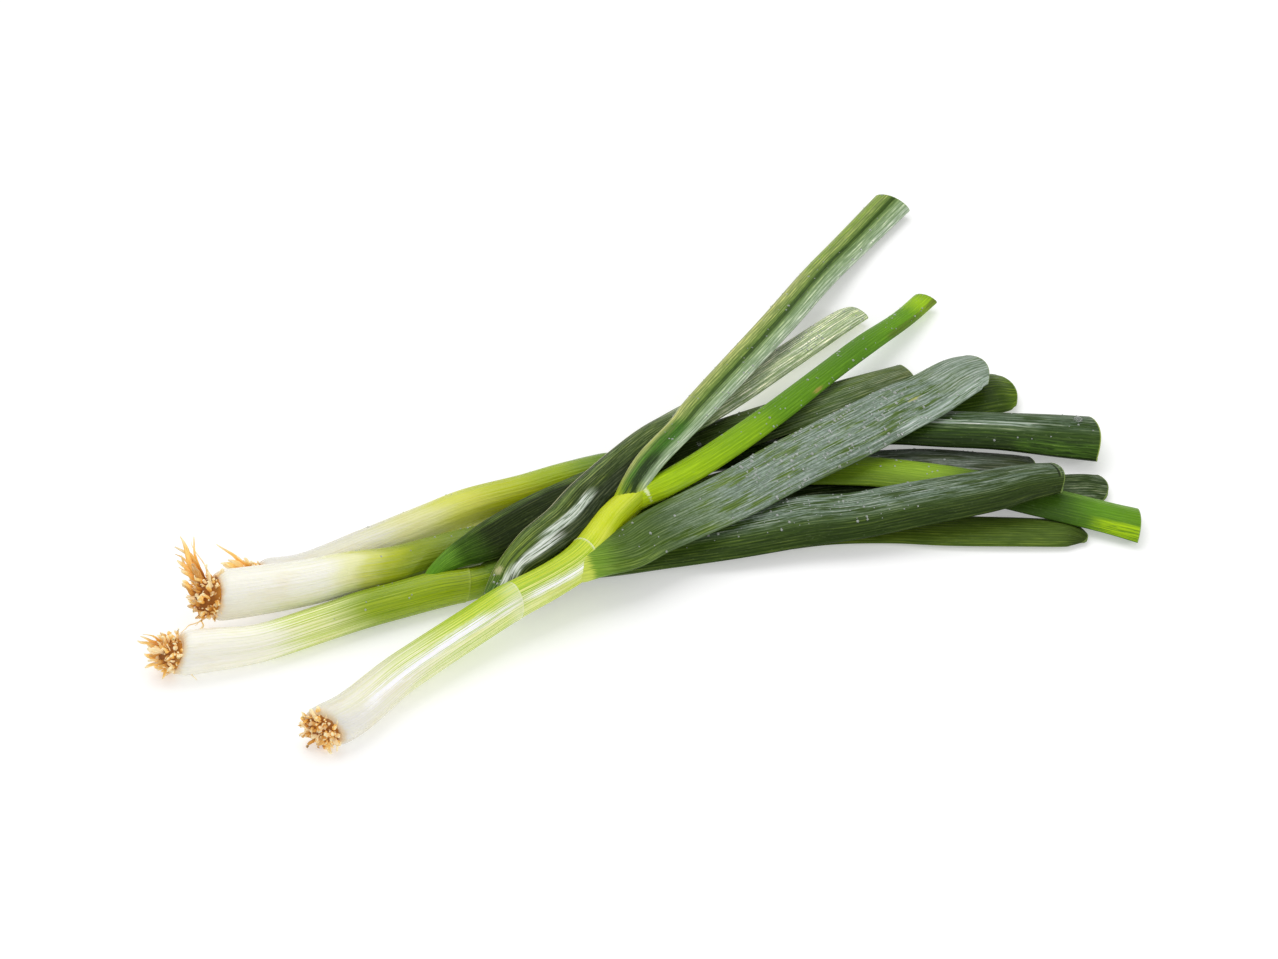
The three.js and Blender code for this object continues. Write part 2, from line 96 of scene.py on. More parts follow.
FLOOR_HALF = 4
FLOOR_GLOW = 0.47
CAMERA_PLACE, CAMERA_TARGET = (-0.0043, -0.9102, 0.7492), (-0.0043, -0.0292, 0.010)
LENS_MM, SENSOR_MM = 85, 36

# A course is a list of rows along the middle of a piece. Each row is
# [x, y, z, half width, half thickness, roll in degrees]; a round shaft's rows give its radius once.

SHAFTS = {
    "a": [
        [-110.3, -132.6, 7.9, 8.3], [-100, -124.2, 7.9, 8.1], [-87, -108.4, 8.6, 7.5], [-77, -98.8, 9.6, 7.3],
        [-60, -84, 11.5, 7.2], [-47.5, -74.2, 13.6, 7.2], [-31.5, -64.5, 16.6, 6.8], [-20.5, -54, 18, 6.8],
        [-11, -35.6, 19.4, 6.1], [-2, -23, 20.3, 5.6], [0.3, -19.7, 20.5, 5.3],
    ],
    "b": [
        [-165.5, -94.5, 7.9, 8.2], [-152, -92, 7.8, 7.8], [-136, -87.5, 6.8, 6.9], [-114, -76.5, 6.5, 6.8],
        [-101, -70, 6.6, 6.9], [-88, -64.5, 6.5, 6.8], [-74.5, -59, 6.5, 6.8], [-63, -55.5, 6.2, 6.2],
        [-52, -51.1, 6.3, 6.3],
    ],
    "c": [
        [-154, -73, 16.3, 9.3], [-143, -71, 16.3, 9.2], [-122, -65.5, 15.8, 8.5], [-106, -57, 13.2, 7.9],
        [-91, -50, 10.2, 7.3], [-77, -41.8, 8.2, 7.1], [-64, -37, 7.9, 7.4], [-55, -32.5, 7.2, 6.9],
    ],
    "d": [
        [-139, -54, 7.4, 7.6], [-123, -50, 7.2, 7.4], [-102, -36.5, 7, 7.3], [-80, -22.5, 6.9, 7.4],
        [-64.5, -12.9, 6.9, 7.4], [-44, -3.8, 6.6, 7], [-30, 3.2, 6.4, 6.8], [-15, 9.7, 6.1, 6.6],
        [-9.5, 12, 5.9, 6],
    ],
}

# Where the sheaths of a shaft end in a rim, as shares of its length.
RIMS = {"a": [0.55, 0.758, 0.985], "b": [0.897], "c": [], "d": []}

LEAVES = {
    "a": [
        [
            [-4, -26, 20, 4.6, 4.2], [2, -21.8, 20.6, 4.9, 4.1], [9, -16.8, 21.2, 6, 3.8],
            [26, -1.6, 21.2, 6.4, 2.9], [50, 25.2, 20, 6.1, 2.5], [73, 56.3, 16.5, 5.6, 2.3],
            [91.5, 83.3, 11.5, 5.7, 2.3], [107.5, 105.4, 7, 5.1, 2.3], [118.4, 123, 4, 5.1, 2.3],
        ],
        [
            [-8.2, -31.5, 20.6, 4.2, 4], [-4.5, -25, 22, 4.9, 3.8], [-1.5, -19, 24.4, 5.2, 3.4],
            [5, -7.5, 26.8, 5.8, 2.9], [17, 11, 27.5, 6, 2.6], [25, 28.4, 25, 6.9, 2.6],
            [55, 89.8, 15.6, 7.5, 2.7], [73.8, 131.1, 8.6, 7.7, 2.9], [91, 163, 4.6, 8.1, 3.1],
            [109.2, 192.3, 3.9, 8.8, 3.7],
        ],
        [
            [-26.5, -61.3, 17, 5.7, 5], [-20.2, -57.4, 17.4, 6.9, 6, 5], [-13.5, -54, 17.8, 7.6, 5, 14],
            [-4, -49.2, 18, 8.6, 3.9, 20], [8, -39, 18.5, 9.5, 3.4, 20], [34.5, -20.5, 19, 10.5, 3.5, 18],
            [57, -2, 19, 11.2, 3.6, 16], [80.5, 15.5, 19.2, 11.8, 3.8, 14],
            [100.5, 32.6, 18.1, 11.7, 3.7, 12], [112.1, 42, 17.2, 11.2, 3.7, 10],
            [126.2, 57.2, 14.8, 10.5, 3.6, 8], [137, 66.6, 12.6, 9, 3.3, 6],
        ],
        [
            [-56.6, -77.5, 11.9, 4.1, 3.6], [-52.7, -73, 13, 5.1, 4, -2], [-49.7, -67.2, 15, 6, 3.7],
            [-45.8, -59.2, 18.6, 6.2, 2.9, 1], [-37.3, -49.8, 21.2, 8.7, 2.8], [-26.2, -36.8, 22, 9.3, 2.5],
            [-17, -20.5, 21.8, 9, 2.5], [2, 7, 20.6, 8.5, 2.4], [15, 21.5, 19.3, 8.4, 2.4],
            [35, 47, 13.5, 7.8, 2.6], [57.5, 76, 8.5, 7, 2.8], [82.5, 106.5, 4.8, 6.4, 2.7],
            [89.6, 114, 3.6, 5.4, 2.4],
        ],
    ],
    "b": [
        [
            [-60, -53.8, 6.1, 6, 5.9], [-46, -48.2, 6.9, 6.9, 6.6], [-36.5, -45, 6.2, 7.2, 6.3],
            [-11.5, -40.1, 4.7, 8.5, 4.7], [11, -34.2, 5.6, 10.3, 4.2, 5], [35, -29.5, 7.6, 11.2, 4, 10],
            [62, -24, 9.7, 11.7, 4.1, 12], [80.5, -22.5, 11, 10.8, 3.8, 12],
            [103.5, -17.5, 12.5, 10.7, 3.7, 10], [130, -12, 14, 10.3, 3.6, 8], [147, -6.5, 14.2, 9.1, 3.5, 6],
            [160.8, -3.4, 14.2, 7.9, 3.2, 5],
        ],
        [
            [-78.7, -58.6, 8, 3.2, 3, 35], [-73.4, -53.6, 12.6, 3, 3.4, 31],
            [-65.8, -48.9, 15.1, 5.3, 3.1, 19], [-54.3, -42.6, 16.8, 8.6, 2.9, 11],
            [-37, -26.3, 15.8, 10.4, 2.9], [-18.5, -12.5, 14.8, 10.8, 2.9], [8, 6, 14, 10.5, 2.9],
            [39, 25.5, 12.8, 10.2, 2.9], [63, 39, 12, 9.8, 2.9], [83, 51.5, 10.6, 9.3, 2.9],
            [107, 65.6, 9.2, 7, 2.7],
        ],
        [
            [26, -30.5, 2.6, 5, 1.9], [34, -29.5, 2.3, 6.3, 1.9], [53, -24.5, 2.2, 7.5, 2.1],
            [72, -20.5, 2.2, 8.1, 2.3], [94.5, -19.5, 2.3, 8.5, 2.4], [117.5, -21, 2.4, 8.5, 2.5],
            [146, -21.8, 2.4, 8.1, 2.5], [160, -22.4, 2.2, 7.4, 2.4], [165.5, -23.5, 2.1, 5.8, 2.2],
            [169, -24.9, 1.9, 3.2, 1.9],
        ],
    ],
    "c": [
        [
            [-58, -35, 8.8, 5.2, 3], [-41, -29, 8.8, 7.1, 2.8], [-26, -23, 8.4, 7.4, 2.4],
            [0.5, -14, 8, 8, 2.4], [23, -5.5, 8, 8, 2.4], [54, 6.5, 8, 8.3, 2.5], [84.5, 7.5, 8, 8.5, 2.5],
            [107, 4, 8, 8.7, 2.5], [128.5, -1.5, 8, 8.4, 2.5, 4], [150.5, -8.5, 7, 7.7, 2.4, 10],
            [176.5, -16, 4.8, 8, 2.6, 6], [189, -19.5, 3.4, 9.4, 3.1],
        ],
        [
            [-58, -30, 3.6, 3.8, 2.1], [-41, -17.5, 2.2, 5.6, 2.2], [-26, -10.5, 2.2, 6.4, 2.2],
            [0.5, -3, 2.2, 7.1, 2.3], [23.5, 3, 2.2, 7.4, 2.3], [62, 12, 2.2, 7.5, 2.4],
            [81.5, 17, 2.3, 7.9, 2.5], [109, 19, 2.3, 8.6, 2.5], [132, 17.5, 2.3, 8, 2.5],
            [153.5, 15.3, 2.4, 7.4, 2.5],
        ],
        [
            [-58, -35, 3.2, 3.8, 2.1], [-41, -28, 2.2, 5.7, 2.2], [-26, -23, 2.1, 6.4, 2.2],
            [0.5, -16.5, 2.1, 7, 2.2], [42.5, -6.5, 2.2, 7.7, 2.3], [81, 1, 2.2, 7.5, 2.3],
            [119, 1, 2.2, 6.4, 2.2], [150, 0.5, 2.3, 6, 2.3], [163, 3.4, 2.5, 8, 2.6],
            [180, 4, 2.7, 7.7, 2.7],
        ],
    ],
    "d": [
        [
            [-18, 9.5, 3.8, 5, 2.4], [-12.5, 14, 3, 6, 2.6], [4.5, 23, 2.7, 7.6, 2.8],
            [24, 30.5, 2.8, 8.3, 3], [63.5, 41.5, 2.9, 9, 3.1], [103.5, 53.5, 3, 11.6, 3.3],
            [123.5, 57, 3, 12.2, 3.3], [144.5, 62.3, 3.3, 12, 3.5], [150, 63.6, 3.4, 10, 3.4],
        ],
        [
            [-19, 6, 8.6, 5, 2.8], [-12, 6, 8.9, 6, 3.1], [4, 9.5, 7.4, 6, 3.8], [23.5, 17, 4.6, 5.6, 4.2],
            [62.5, 26, 4.6, 5.8, 4.2], [82, 31, 7, 8.2, 3.9], [97, 33, 8.9, 10, 4],
            [118.5, 31.9, 8.9, 10.6, 3.9], [140.5, 31, 8.5, 11, 4.1], [163, 29.5, 7.4, 12.5, 4.6],
            [178.7, 28.4, 6.5, 13, 4.9],
        ],
    ],
}


# ---------- courses and rings ----------


def smooth(low, high, x):
    t = np.clip((x - low) / (high - low), 0, 1)
    return t * t * (3 - 2 * t)


def unit(vectors):
    return vectors / np.linalg.norm(vectors, axis=-1, keepdims=True)


def on_table(points):
    """The points, pressed flat on the table where they would dip below it."""
    points[..., 2] = np.maximum(points[..., 2], TABLE_GAP)
    return points


class Course:
    """A smooth course through rows, read by the distance along it."""

    def __init__(self, rows):
        full = [list(r) + ([r[3]] if len(r) < 5 else []) for r in rows]
        full = np.array([r + [0] * (6 - len(r)) for r in full], float)
        ends = np.vstack([2 * full[0] - full[1], full, 2 * full[-1] - full[-2]])
        t = np.linspace(0, len(full) - 1, 60 * len(full))
        k = np.minimum(t.astype(int), len(full) - 2)
        f = (t - k)[:, None]
        p0, p1, p2, p3 = (ends[k + i] for i in range(4))
        bend = (2 * p0 - 5 * p1 + 4 * p2 - p3) * f**2
        self.values = 0.5 * (2 * p1 + (p2 - p0) * f + bend + (3 * p1 - p0 - 3 * p2 + p3) * f**3)
        steps = np.linalg.norm(np.diff(self.values[:, :3], axis=0), axis=1)
        self.arc = np.concatenate([[0], np.cumsum(steps)])
        self.length = self.arc[-1]

    def read(self, s):
        return np.stack([np.interp(s, self.arc, self.values[:, i]) for i in range(6)], -1)

    def frames(self, s):
        """Middle, along, side, up and the sizes a, b at each distance."""
        v = self.read(s)
        along = unit(self.read(s + 0.4)[:, :3] - self.read(s - 0.4)[:, :3])
        side = unit(np.cross(UP, along))
        up = np.cross(along, side)
        roll = np.radians(v[:, 5])[:, None]
        side = side * np.cos(roll) + up * np.sin(roll)
        return v[:, :3], along, side, np.cross(along, side), v[:, 3], v[:, 4]


def place_rings(frames, u, v, shift=0.0):
    """Points of the rings, from their sideways and upward places and their shift along the course."""
    middle, along, side, up = frames[:4]
    points = middle[:, None] + side[:, None] * u[..., None] + up[:, None] * v[..., None]
    return on_table(points + along[:, None] * (np.zeros_like(u) + shift)[..., None])


def turns(sides):
    return np.arange(sides) * 2 * np.pi / sides


def spread(columns, shape):
    """Columns of ring values side by side, each spread over all the rings."""
    return np.stack([np.broadcast_to(column, shape) for column in columns], -1)


def ripples(angle, s, seed, counts, wave, wander=0.6):
    """Long ribs round a piece that wander a little along it, between -1 and 1."""
    random = np.random.default_rng(seed)
    total = np.zeros(np.broadcast(angle, s).shape)
    for count in counts:
        phase, drift = random.uniform(0, 6.28, 2)
        total = total + np.sin(count * angle + phase + wander * np.sin(s / wave + drift))
    return total / len(counts)


# ---------- meshes ----------


def loft(rings):
    """Vertices and faces of a skin over the rings, with a fan over each end."""
    count, sides = rings.shape[:2]
    index = np.arange(count * sides).reshape(count, sides)
    after = np.roll(index, -1, axis=1)
    quads = np.stack([index[:-1], after[:-1], after[1:], index[1:]], -1).reshape(-1, 4)
    start, end = count * sides, count * sides + 1
    faces = quads.tolist()
    faces += [[start, b, a] for a, b in zip(index[0].tolist(), after[0].tolist())]
    faces += [[end, a, b] for a, b in zip(index[-1].tolist(), after[-1].tolist())]
    return with_hubs(rings), faces


def with_hubs(values):
    """Ring values flattened, with one more for the hub of each end's fan."""
    flat = values.reshape(-1, *values.shape[2:])
    return np.concatenate([flat, values[0].mean(0)[None], values[-1].mean(0)[None]])


class Bundle:
    """Several small skins that are gathered into one mesh."""

    def __init__(self):
        self.points, self.faces, self.count = [], [], 0

    def add(self, rings):
        points, faces = loft(rings)
        self.points.append(points)
        self.faces.extend([[i + self.count for i in face] for face in faces])
        self.count += len(points)


def add_piece(name, points, faces, attributes, material, slot, nodes=()):
    """A smooth mesh object in metres that rides on the one body."""
    mesh = bpy.data.meshes.new(name)
    mesh.from_pydata(((on_table(points) - PILE_MIDDLE) * MM).tolist(), [], faces)
    for key, values in attributes.items():
        wide = values.ndim == 2
        layer = mesh.attributes.new(key, "FLOAT_VECTOR" if wide else "FLOAT", "POINT")
        layer.data.foreach_set("vector" if wide else "value", np.ascontiguousarray(values, np.float32).ravel())
    mesh.shade_smooth()
    mesh.materials.append(material)
    piece = bpy.data.objects.new(name, mesh)
    bpy.context.scene.collection.objects.link(piece)
    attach(piece, "root")
    if nodes:
        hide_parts(*nodes)


# ---------- node helpers ----------


class Shader:
    """A material's node tree, with short calls for the nodes that it uses."""

    def __init__(self, name):
        self.material = bpy.data.materials.new(name)
        self.material.use_nodes = True
        self.tree = self.material.node_tree
        self.tree.nodes.clear()

    def node(self, kind, inputs=(), **settings):
        node = self.tree.nodes.new(kind)
        for key, value in settings.items():
            setattr(node, key, value)
        for key, value in dict(inputs).items():
            socket = node.inputs[key]
            if isinstance(value, bpy.types.NodeSocket):
                self.tree.links.new(value, socket)
            elif socket.type == "RGBA" and not isinstance(value, (int, float)):
                socket.default_value = (*value, 1.0)
            else:
                socket.default_value = value
        return node

    def math(self, operation, *values, clamp=False):
        return self.node("ShaderNodeMath", enumerate(values), operation=operation, use_clamp=clamp).outputs[0]

    def times(self, *values):
        """The product of several values."""
        product = values[0]
        for value in values[1:]:
            product = self.math("MULTIPLY", product, value)
        return product

    def linear(self, value, factor, offset):
        return self.math("MULTIPLY_ADD", value, factor, offset)

    def nudge(self, place, noise, reach):
        """A place pushed to and fro by a noise."""
        return self.linear(self.math("SUBTRACT", noise, 0.5), reach, place)

    def step(self, value, low, high, to_low=0.0, to_high=1.0):
        sockets = {"Value": value, "From Min": low, "From Max": high, "To Min": to_low, "To Max": to_high}
        return self.node("ShaderNodeMapRange", sockets, interpolation_type="SMOOTHSTEP").outputs["Result"]

    def between(self, value, low, high, soft):
        """One where the value lies between low and high, with soft sides."""
        rise = self.step(value, low - soft, low + soft)
        return self.times(rise, self.step(value, high - soft, high + soft, 1.0, 0.0))

    def attribute(self, name, output="Fac"):
        return self.node("ShaderNodeAttribute", attribute_name=name).outputs[output]

    def parts(self, name):
        """The three parts of a vector attribute."""
        return self.node("ShaderNodeSeparateXYZ", {0: self.attribute(name, "Vector")}).outputs

    def stripes(self, place, turns, sway):
        """Regular stripes across a place, between -1 and 1, pushed sideways by a noise."""
        return self.math("SINE", self.linear(place, turns, self.linear(sway, 9.0, -4.5)))

    def mix(self, share, a, b, blend="MIX"):
        sockets = {0: share, 6: a, 7: b}
        return self.node("ShaderNodeMix", sockets, data_type="RGBA", blend_type=blend).outputs[2]

    def tint(self, share, colour, factors):
        """The colour, multiplied by the factors over a share."""
        return self.mix(share, colour, self.mix(1.0, colour, factors, "MULTIPLY"))

    def ramp(self, value, stops):
        node = self.node("ShaderNodeValToRGB", {0: value})
        node.color_ramp.interpolation = "EASE"
        elements = node.color_ramp.elements
        while len(elements) < len(stops):
            elements.new(0.5)
        for element, (place, colour) in zip(elements, stops):
            element.position = place
            colour = (colour,) * 3 if isinstance(colour, (int, float)) else colour
            element.color = (*colour, 1.0)
        return node.outputs["Color"]

    def noise(self, vector, scale=1.0, detail=2.0, roughness=0.5):
        sockets = {"Vector": vector, "Scale": scale, "Detail": detail, "Roughness": roughness}
        return self.node("ShaderNodeTexNoise", sockets).outputs["Fac"]

    def grain(self, across, along, detail=2.0, roughness=0.5):
        """A noise over the skin, with its own scale round the piece and along it."""
        sockets = {"Vector": self.attribute("flow", "Vector"), "Scale": (across, across, along)}
        vector = self.node("ShaderNodeMapping", sockets).outputs["Vector"]
        return self.noise(vector, 1.0, detail, roughness)

    def bump(self, height, strength):
        sockets = {"Height": height, "Strength": strength, "Distance": DETAIL_DEPTH}
        return self.node("ShaderNodeBump", sockets).outputs["Normal"]

    def finish(self, **inputs):
        shader = self.node("ShaderNodeBsdfPrincipled", {k.replace("_", " "): v for k, v in inputs.items()})
        self.node("ShaderNodeOutputMaterial", {"Surface": shader.outputs[0]})
        return self.material


# ---------- materials ----------


def leaf_material(name, look, length):
    """Waxy leaf skin: colour along and across it, fine parallel lines, a pale broken waxy coat that is partly
    painted sheen, painted shade on the near side, bands that are mostly painted highlights, and light edges.
    """
    s = Shader(name)
    across, top, along = s.parts("place")
    fine = s.grain(3.2, 0.03, 1.0)
    veins = s.grain(1.8, 0.012, 2.0, 0.55)
    broad = s.grain(0.33, 0.006, 1.0)
    patch = s.grain(0.36, 0.055, 4.0, 0.62)
    dash = s.grain(2.4, 0.115, 2.0, 0.6)
    speck = s.grain(2.0, 0.7)

    colour = s.ramp(s.nudge(along, veins, look["wander"]), look["along"])
    if "across" in look:
        width = s.linear(s.linear(broad, 0.16, across), 0.5, 0.46)
        share = s.times(s.step(top, -0.3, 0.1), s.step(along, *look["across_from"]))
        colour = s.mix(share, colour, s.ramp(width, look["across"]))

    streak = s.step(along, 0.0, look["calm_foot"], 0.3 * look["streak"], look["streak"])
    colour = s.tint(s.times(s.step(broad, 0.42, 0.62), 0.3, streak), colour, (0.6, 0.64, 0.55))
    # Painted shade: the near side of the leaf, across from shade_from to shade_to, is darkened towards a deep
    # green, up to the share along set by shade_until, because it lies away from the light.
    shade_from, shade_to, shade = look["shade"]
    shaded = s.times(s.step(across, shade_to, shade_from, shade, 0.0), s.step(along, *look["shade_until"]))
    colour = s.mix(shaded, colour, (0.008, 0.014, 0.003))

    # Pale wax bloom together with painted sheen: it is laid only on the upper side of the section, where the
    # overhead light falls, and only on one side across where a look sets that.
    bloom_and_sheen_strength, bloom_and_sheen_colour, bloom_and_sheen_stops = look["bloom"]
    mask = s.times(s.ramp(along, bloom_and_sheen_stops), s.step(top, -0.5, 0.4), s.step(across, *look["bloom_and_sheen_side"]))
    broken = s.math("ADD", s.times(patch, 0.62), s.times(dash, 0.38))
    mask = s.times(s.step(broken, *look["bloom_cover"], 0.08, 1.0), mask)
    mask = s.math("MULTIPLY", mask, bloom_and_sheen_strength, clamp=True)
    dull = tuple(0.72 * c for c in bloom_and_sheen_colour)
    colour = s.mix(mask, colour, s.mix(s.step(speck, 0.4, 0.6), bloom_and_sheen_colour, dull))

    # Bands of colour across the leaf: the pale ones are painted highlights of the wet sheen and some dark ones
    # are painted shade. The fine lines stay faint under the painted highlights.
    calm = 1.0
    for centre, half, low, high, tint, weight in look["bands"]:
        wobble = s.nudge(across, patch, 0.9 * half + 0.05)
        band = s.times(s.between(wobble, centre - half, centre + half, 0.35 * half), s.step(top, -0.1, 0.2))
        band = s.times(band, s.between(along, low, high, 0.02), s.step(dash, 0.38, 0.5, 0.3, 1.0), weight)
        colour = s.mix(band, colour, tint)
        if min(tint) > BRIGHT_BAND:
            calm = s.times(s.math("SUBTRACT", 1.0, s.times(band, 0.6)), calm)
    streak = s.times(calm, streak)

    nerves = s.stripes(s.attribute("arc"), 5.0, broad)
    for share, factors in (
        (s.step(dash, 0.48, 0.38), (0.42, 0.5, 0.34)),
        (s.step(dash, 0.55, 0.64), look["glow"]),
        (s.times(s.step(nerves, 0.1, 0.8), s.step(dash, 0.36, 0.5, 0.35, 1.0)), (0.42, 0.52, 0.32)),
        (s.times(s.step(nerves, -0.6, -0.95), s.step(dash, 0.46, 0.6), 0.9), (1.75, 1.5, 1.6)),
        (s.times(s.step(fine, 0.48, 0.42), 0.6), (0.5, 0.6, 0.4)),
        (s.times(s.step(veins, 0.47, 0.42), 0.5), (0.55, 0.62, 0.46)),
        (s.times(s.step(fine, 0.56, 0.61), 0.5), (1.5, 1.4, 1.5)),
    ):
        colour = s.tint(s.times(share, streak), colour, factors)
    colour = s.mix(s.times(s.step(speck, 0.62, 0.74), 0.12), colour, (0.32, 0.42, 0.2))

    for centre, place, half, length_half, tint, weight in look["marks"]:
        dx = s.math("DIVIDE", s.math("SUBTRACT", across, centre), half)
        dy = s.math("DIVIDE", s.math("SUBTRACT", along, place), length_half)
        far = s.math("SQRT", s.math("ADD", s.times(dx, dx), s.times(dy, dy)))
        far = s.nudge(far, s.math("ADD", s.times(dash, 0.6), s.times(speck, 0.4)), 3.2)
        colour = s.mix(s.times(s.step(far, 1.0, 0.45), s.step(top, -0.1, 0.1), weight), colour, tint)

    rim = s.times(s.step(s.math("ABSOLUTE", across), look["edge_from"], 1.0), s.step(across, -0.2, 0.2))
    colour = s.mix(s.times(rim, look["edge_share"]), colour, look["edge"])
    # Lines across the leaf near its cut tip: a pale cut edge, and where a look sets one, a dark line that is
    # painted shadow inside the open mouth.
    from_end = s.times(s.math("SUBTRACT", 1.0, along), length)
    for centre, half, low, high, tint, weight in look["end_lines"]:
        line = s.between(from_end, centre - half, centre + half, 0.15)
        colour = s.mix(s.times(line, s.between(across, low, high, 0.1), weight), colour, tint)
    colour = s.mix(s.attribute("inside"), colour, (0.22, 0.34, 0.08))

    ribs = s.math("ADD", s.times(fine, 0.4), s.linear(speck, 0.15, s.times(dash, 0.7)))
    rough = s.step(dash, 0.3, 0.75, look["gloss"], look["gloss"] + 0.12)
    return s.finish(
        Base_Color=colour,
        Roughness=s.linear(mask, 0.2, rough),
        Normal=s.bump(s.linear(nerves, -0.12, ribs), 0.5),
        Specular_IOR_Level=look["specular"],
    )


def shaft_material(name, look):
    """Wet layered sheath: white bulb, then yellow and green with fine veins, painted highlight streaks of its
    wet shine, and a pale thin rim.
    """
    s = Shader(name)
    along, rim, foot = s.parts("place")
    aside, angle, _ = s.parts("turn")
    veins = s.grain(2.7, 0.01, 1.0)
    fine = s.grain(3.8, 0.02, 2.0, 0.55)
    blotch = s.grain(0.16, 0.05, 4.0, 0.6)
    broad = s.grain(0.22, 0.012, 1.0)
    crinkle = s.grain(0.8, 0.16, 3.0, 0.6)

    wander = s.nudge(along, broad, 0.2)
    far_colour, far_from, far_to = look["far"]
    far = s.times(s.step(along, far_from, far_to), s.step(angle, 132.0, 100.0), 0.92)
    colour = s.mix(far, s.ramp(wander, look["along"]), far_colour)
    vein_colour = s.ramp(wander, look["veins"])
    share = s.ramp(wander, look["vein_share"])
    nerves = s.stripes(angle, 0.63, broad)
    for lines in (
        s.times(s.step(s.linear(aside, look["lean"], veins), 0.5, 0.54), share, 0.6),
        s.times(s.step(nerves, 0.15, 0.8), s.step(s.linear(aside, 0.06, fine), 0.4, 0.54, 0.25, 1.0), share),
        s.times(s.step(fine, 0.54, 0.58), share, 0.85),
    ):
        colour = s.mix(lines, colour, vein_colour)
    # Painted highlights: pale streaks round the sheath that stand for its wet shine.
    for centre, half, low, high, tint, weight in look["bands"]:
        wobble = s.nudge(angle, crinkle, 2.2 * half)
        band = s.between(wobble, centre - half, centre + half, 0.8 * half)
        band = s.times(band, s.between(along, low, high, 0.03), s.step(fine, 0.57, 0.49, 0.2, 1.0), weight)
        colour = s.mix(band, colour, tint)
    colour = s.tint(s.times(s.step(fine, 0.46, 0.36), s.linear(share, 0.4, 0.1)), colour, (1.25, 1.2, 1.6))
    colour = s.tint(s.times(s.step(blotch, 0.5, 0.7), 0.4), colour, (0.93, 0.86, 0.7))

    stain = s.step(s.math("ADD", blotch, s.times(foot, 0.3)), 0.5, 0.8, 0.1, 1.0)
    colour = s.mix(s.times(foot, stain, 0.55), colour, (0.80, 0.55, 0.24))
    skin = s.times(rim, look["skin"], s.step(fine, 0.42, 0.58, 0.3, 1.0))
    colour = s.mix(skin, colour, look["skin_colour"])

    height = s.math("ADD", s.times(fine, 0.4), s.linear(crinkle, 1.1, s.times(veins, 0.6)))
    return s.finish(
        Base_Color=colour,
        Roughness=s.step(crinkle, 0.3, 0.7, 0.16, 0.32),
        Normal=s.bump(s.linear(nerves, -0.07, height), 0.5),
        Specular_IOR_Level=0.3,
        Subsurface_Weight=0.1,
        Subsurface_Radius=(0.003, 0.0028, 0.0012),
    )


def root_material():
    """Dry fibrous roots: golden along them, with pale cut ends, dark brown painted shade in the crevices, and a
    faint painted glow in their own colour.
    """
    s = Shader("root_fibre")
    along, hue, crevice_shade = s.parts("place")
    grain = s.grain(2.4, 0.3, 4.0, 0.65)
    golden = [(0.5, 0.17, 0.02), (0.86, 0.42, 0.07), (0.98, 0.64, 0.2), (1.0, 0.89, 0.56)]
    golden = list(zip((0.0, 0.3, 0.65, 1.0), golden))
    colour = s.ramp(s.nudge(along, s.grain(0.6, 0.25), 0.5), golden)
    for value, low, high, weight, tint in (
        (hue, 0.55, 0.95, 0.75, (1.0, 0.85, 0.54)),
        (hue, 0.2, 0.05, 0.6, (0.5, 0.19, 0.03)),
        (grain, 0.52, 0.64, 0.45, (0.66, 0.27, 0.04)),
        (grain, 0.44, 0.34, 0.4, (1.0, 0.9, 0.6)),
    ):
        colour = s.mix(s.times(s.step(value, low, high), weight), colour, tint)
    # Painted shade, dark brown: in the middle of the plate among the stubs and at the foot of each fibre, where
    # the fibres crowd.
    colour = s.mix(crevice_shade, colour, (0.26, 0.075, 0.01))
    return s.finish(
        Base_Color=colour,
        Roughness=0.65,
        Normal=s.bump(grain, 0.6),
        Specular_IOR_Level=0.12,
        # Painted light: the roots glow faintly in their own colour, which brightens them.
        Emission_Color=colour,
        Emission_Strength=0.17,
    )


def water_material(name, clear):
    """Drops, partly clear and partly an opaque pale white that is a painted highlight standing in for their
    glints, a little whiter in places.
    """
    s = Shader(name)
    haze = s.noise(s.node("ShaderNodeTexCoord").outputs["Object"], 400.0, 1.0)
    return s.finish(
        Base_Color=s.mix(haze, (0.84, 0.88, 0.85), (0.93, 0.95, 0.93)),
        Roughness=s.step(haze, 0.3, 0.7, 0.04, 0.1),
        Transmission_Weight=clear,
        IOR=1.33,
    )


# ---------- shafts ----------

SKINS = {}  # the points of each skin that water drops may sit on


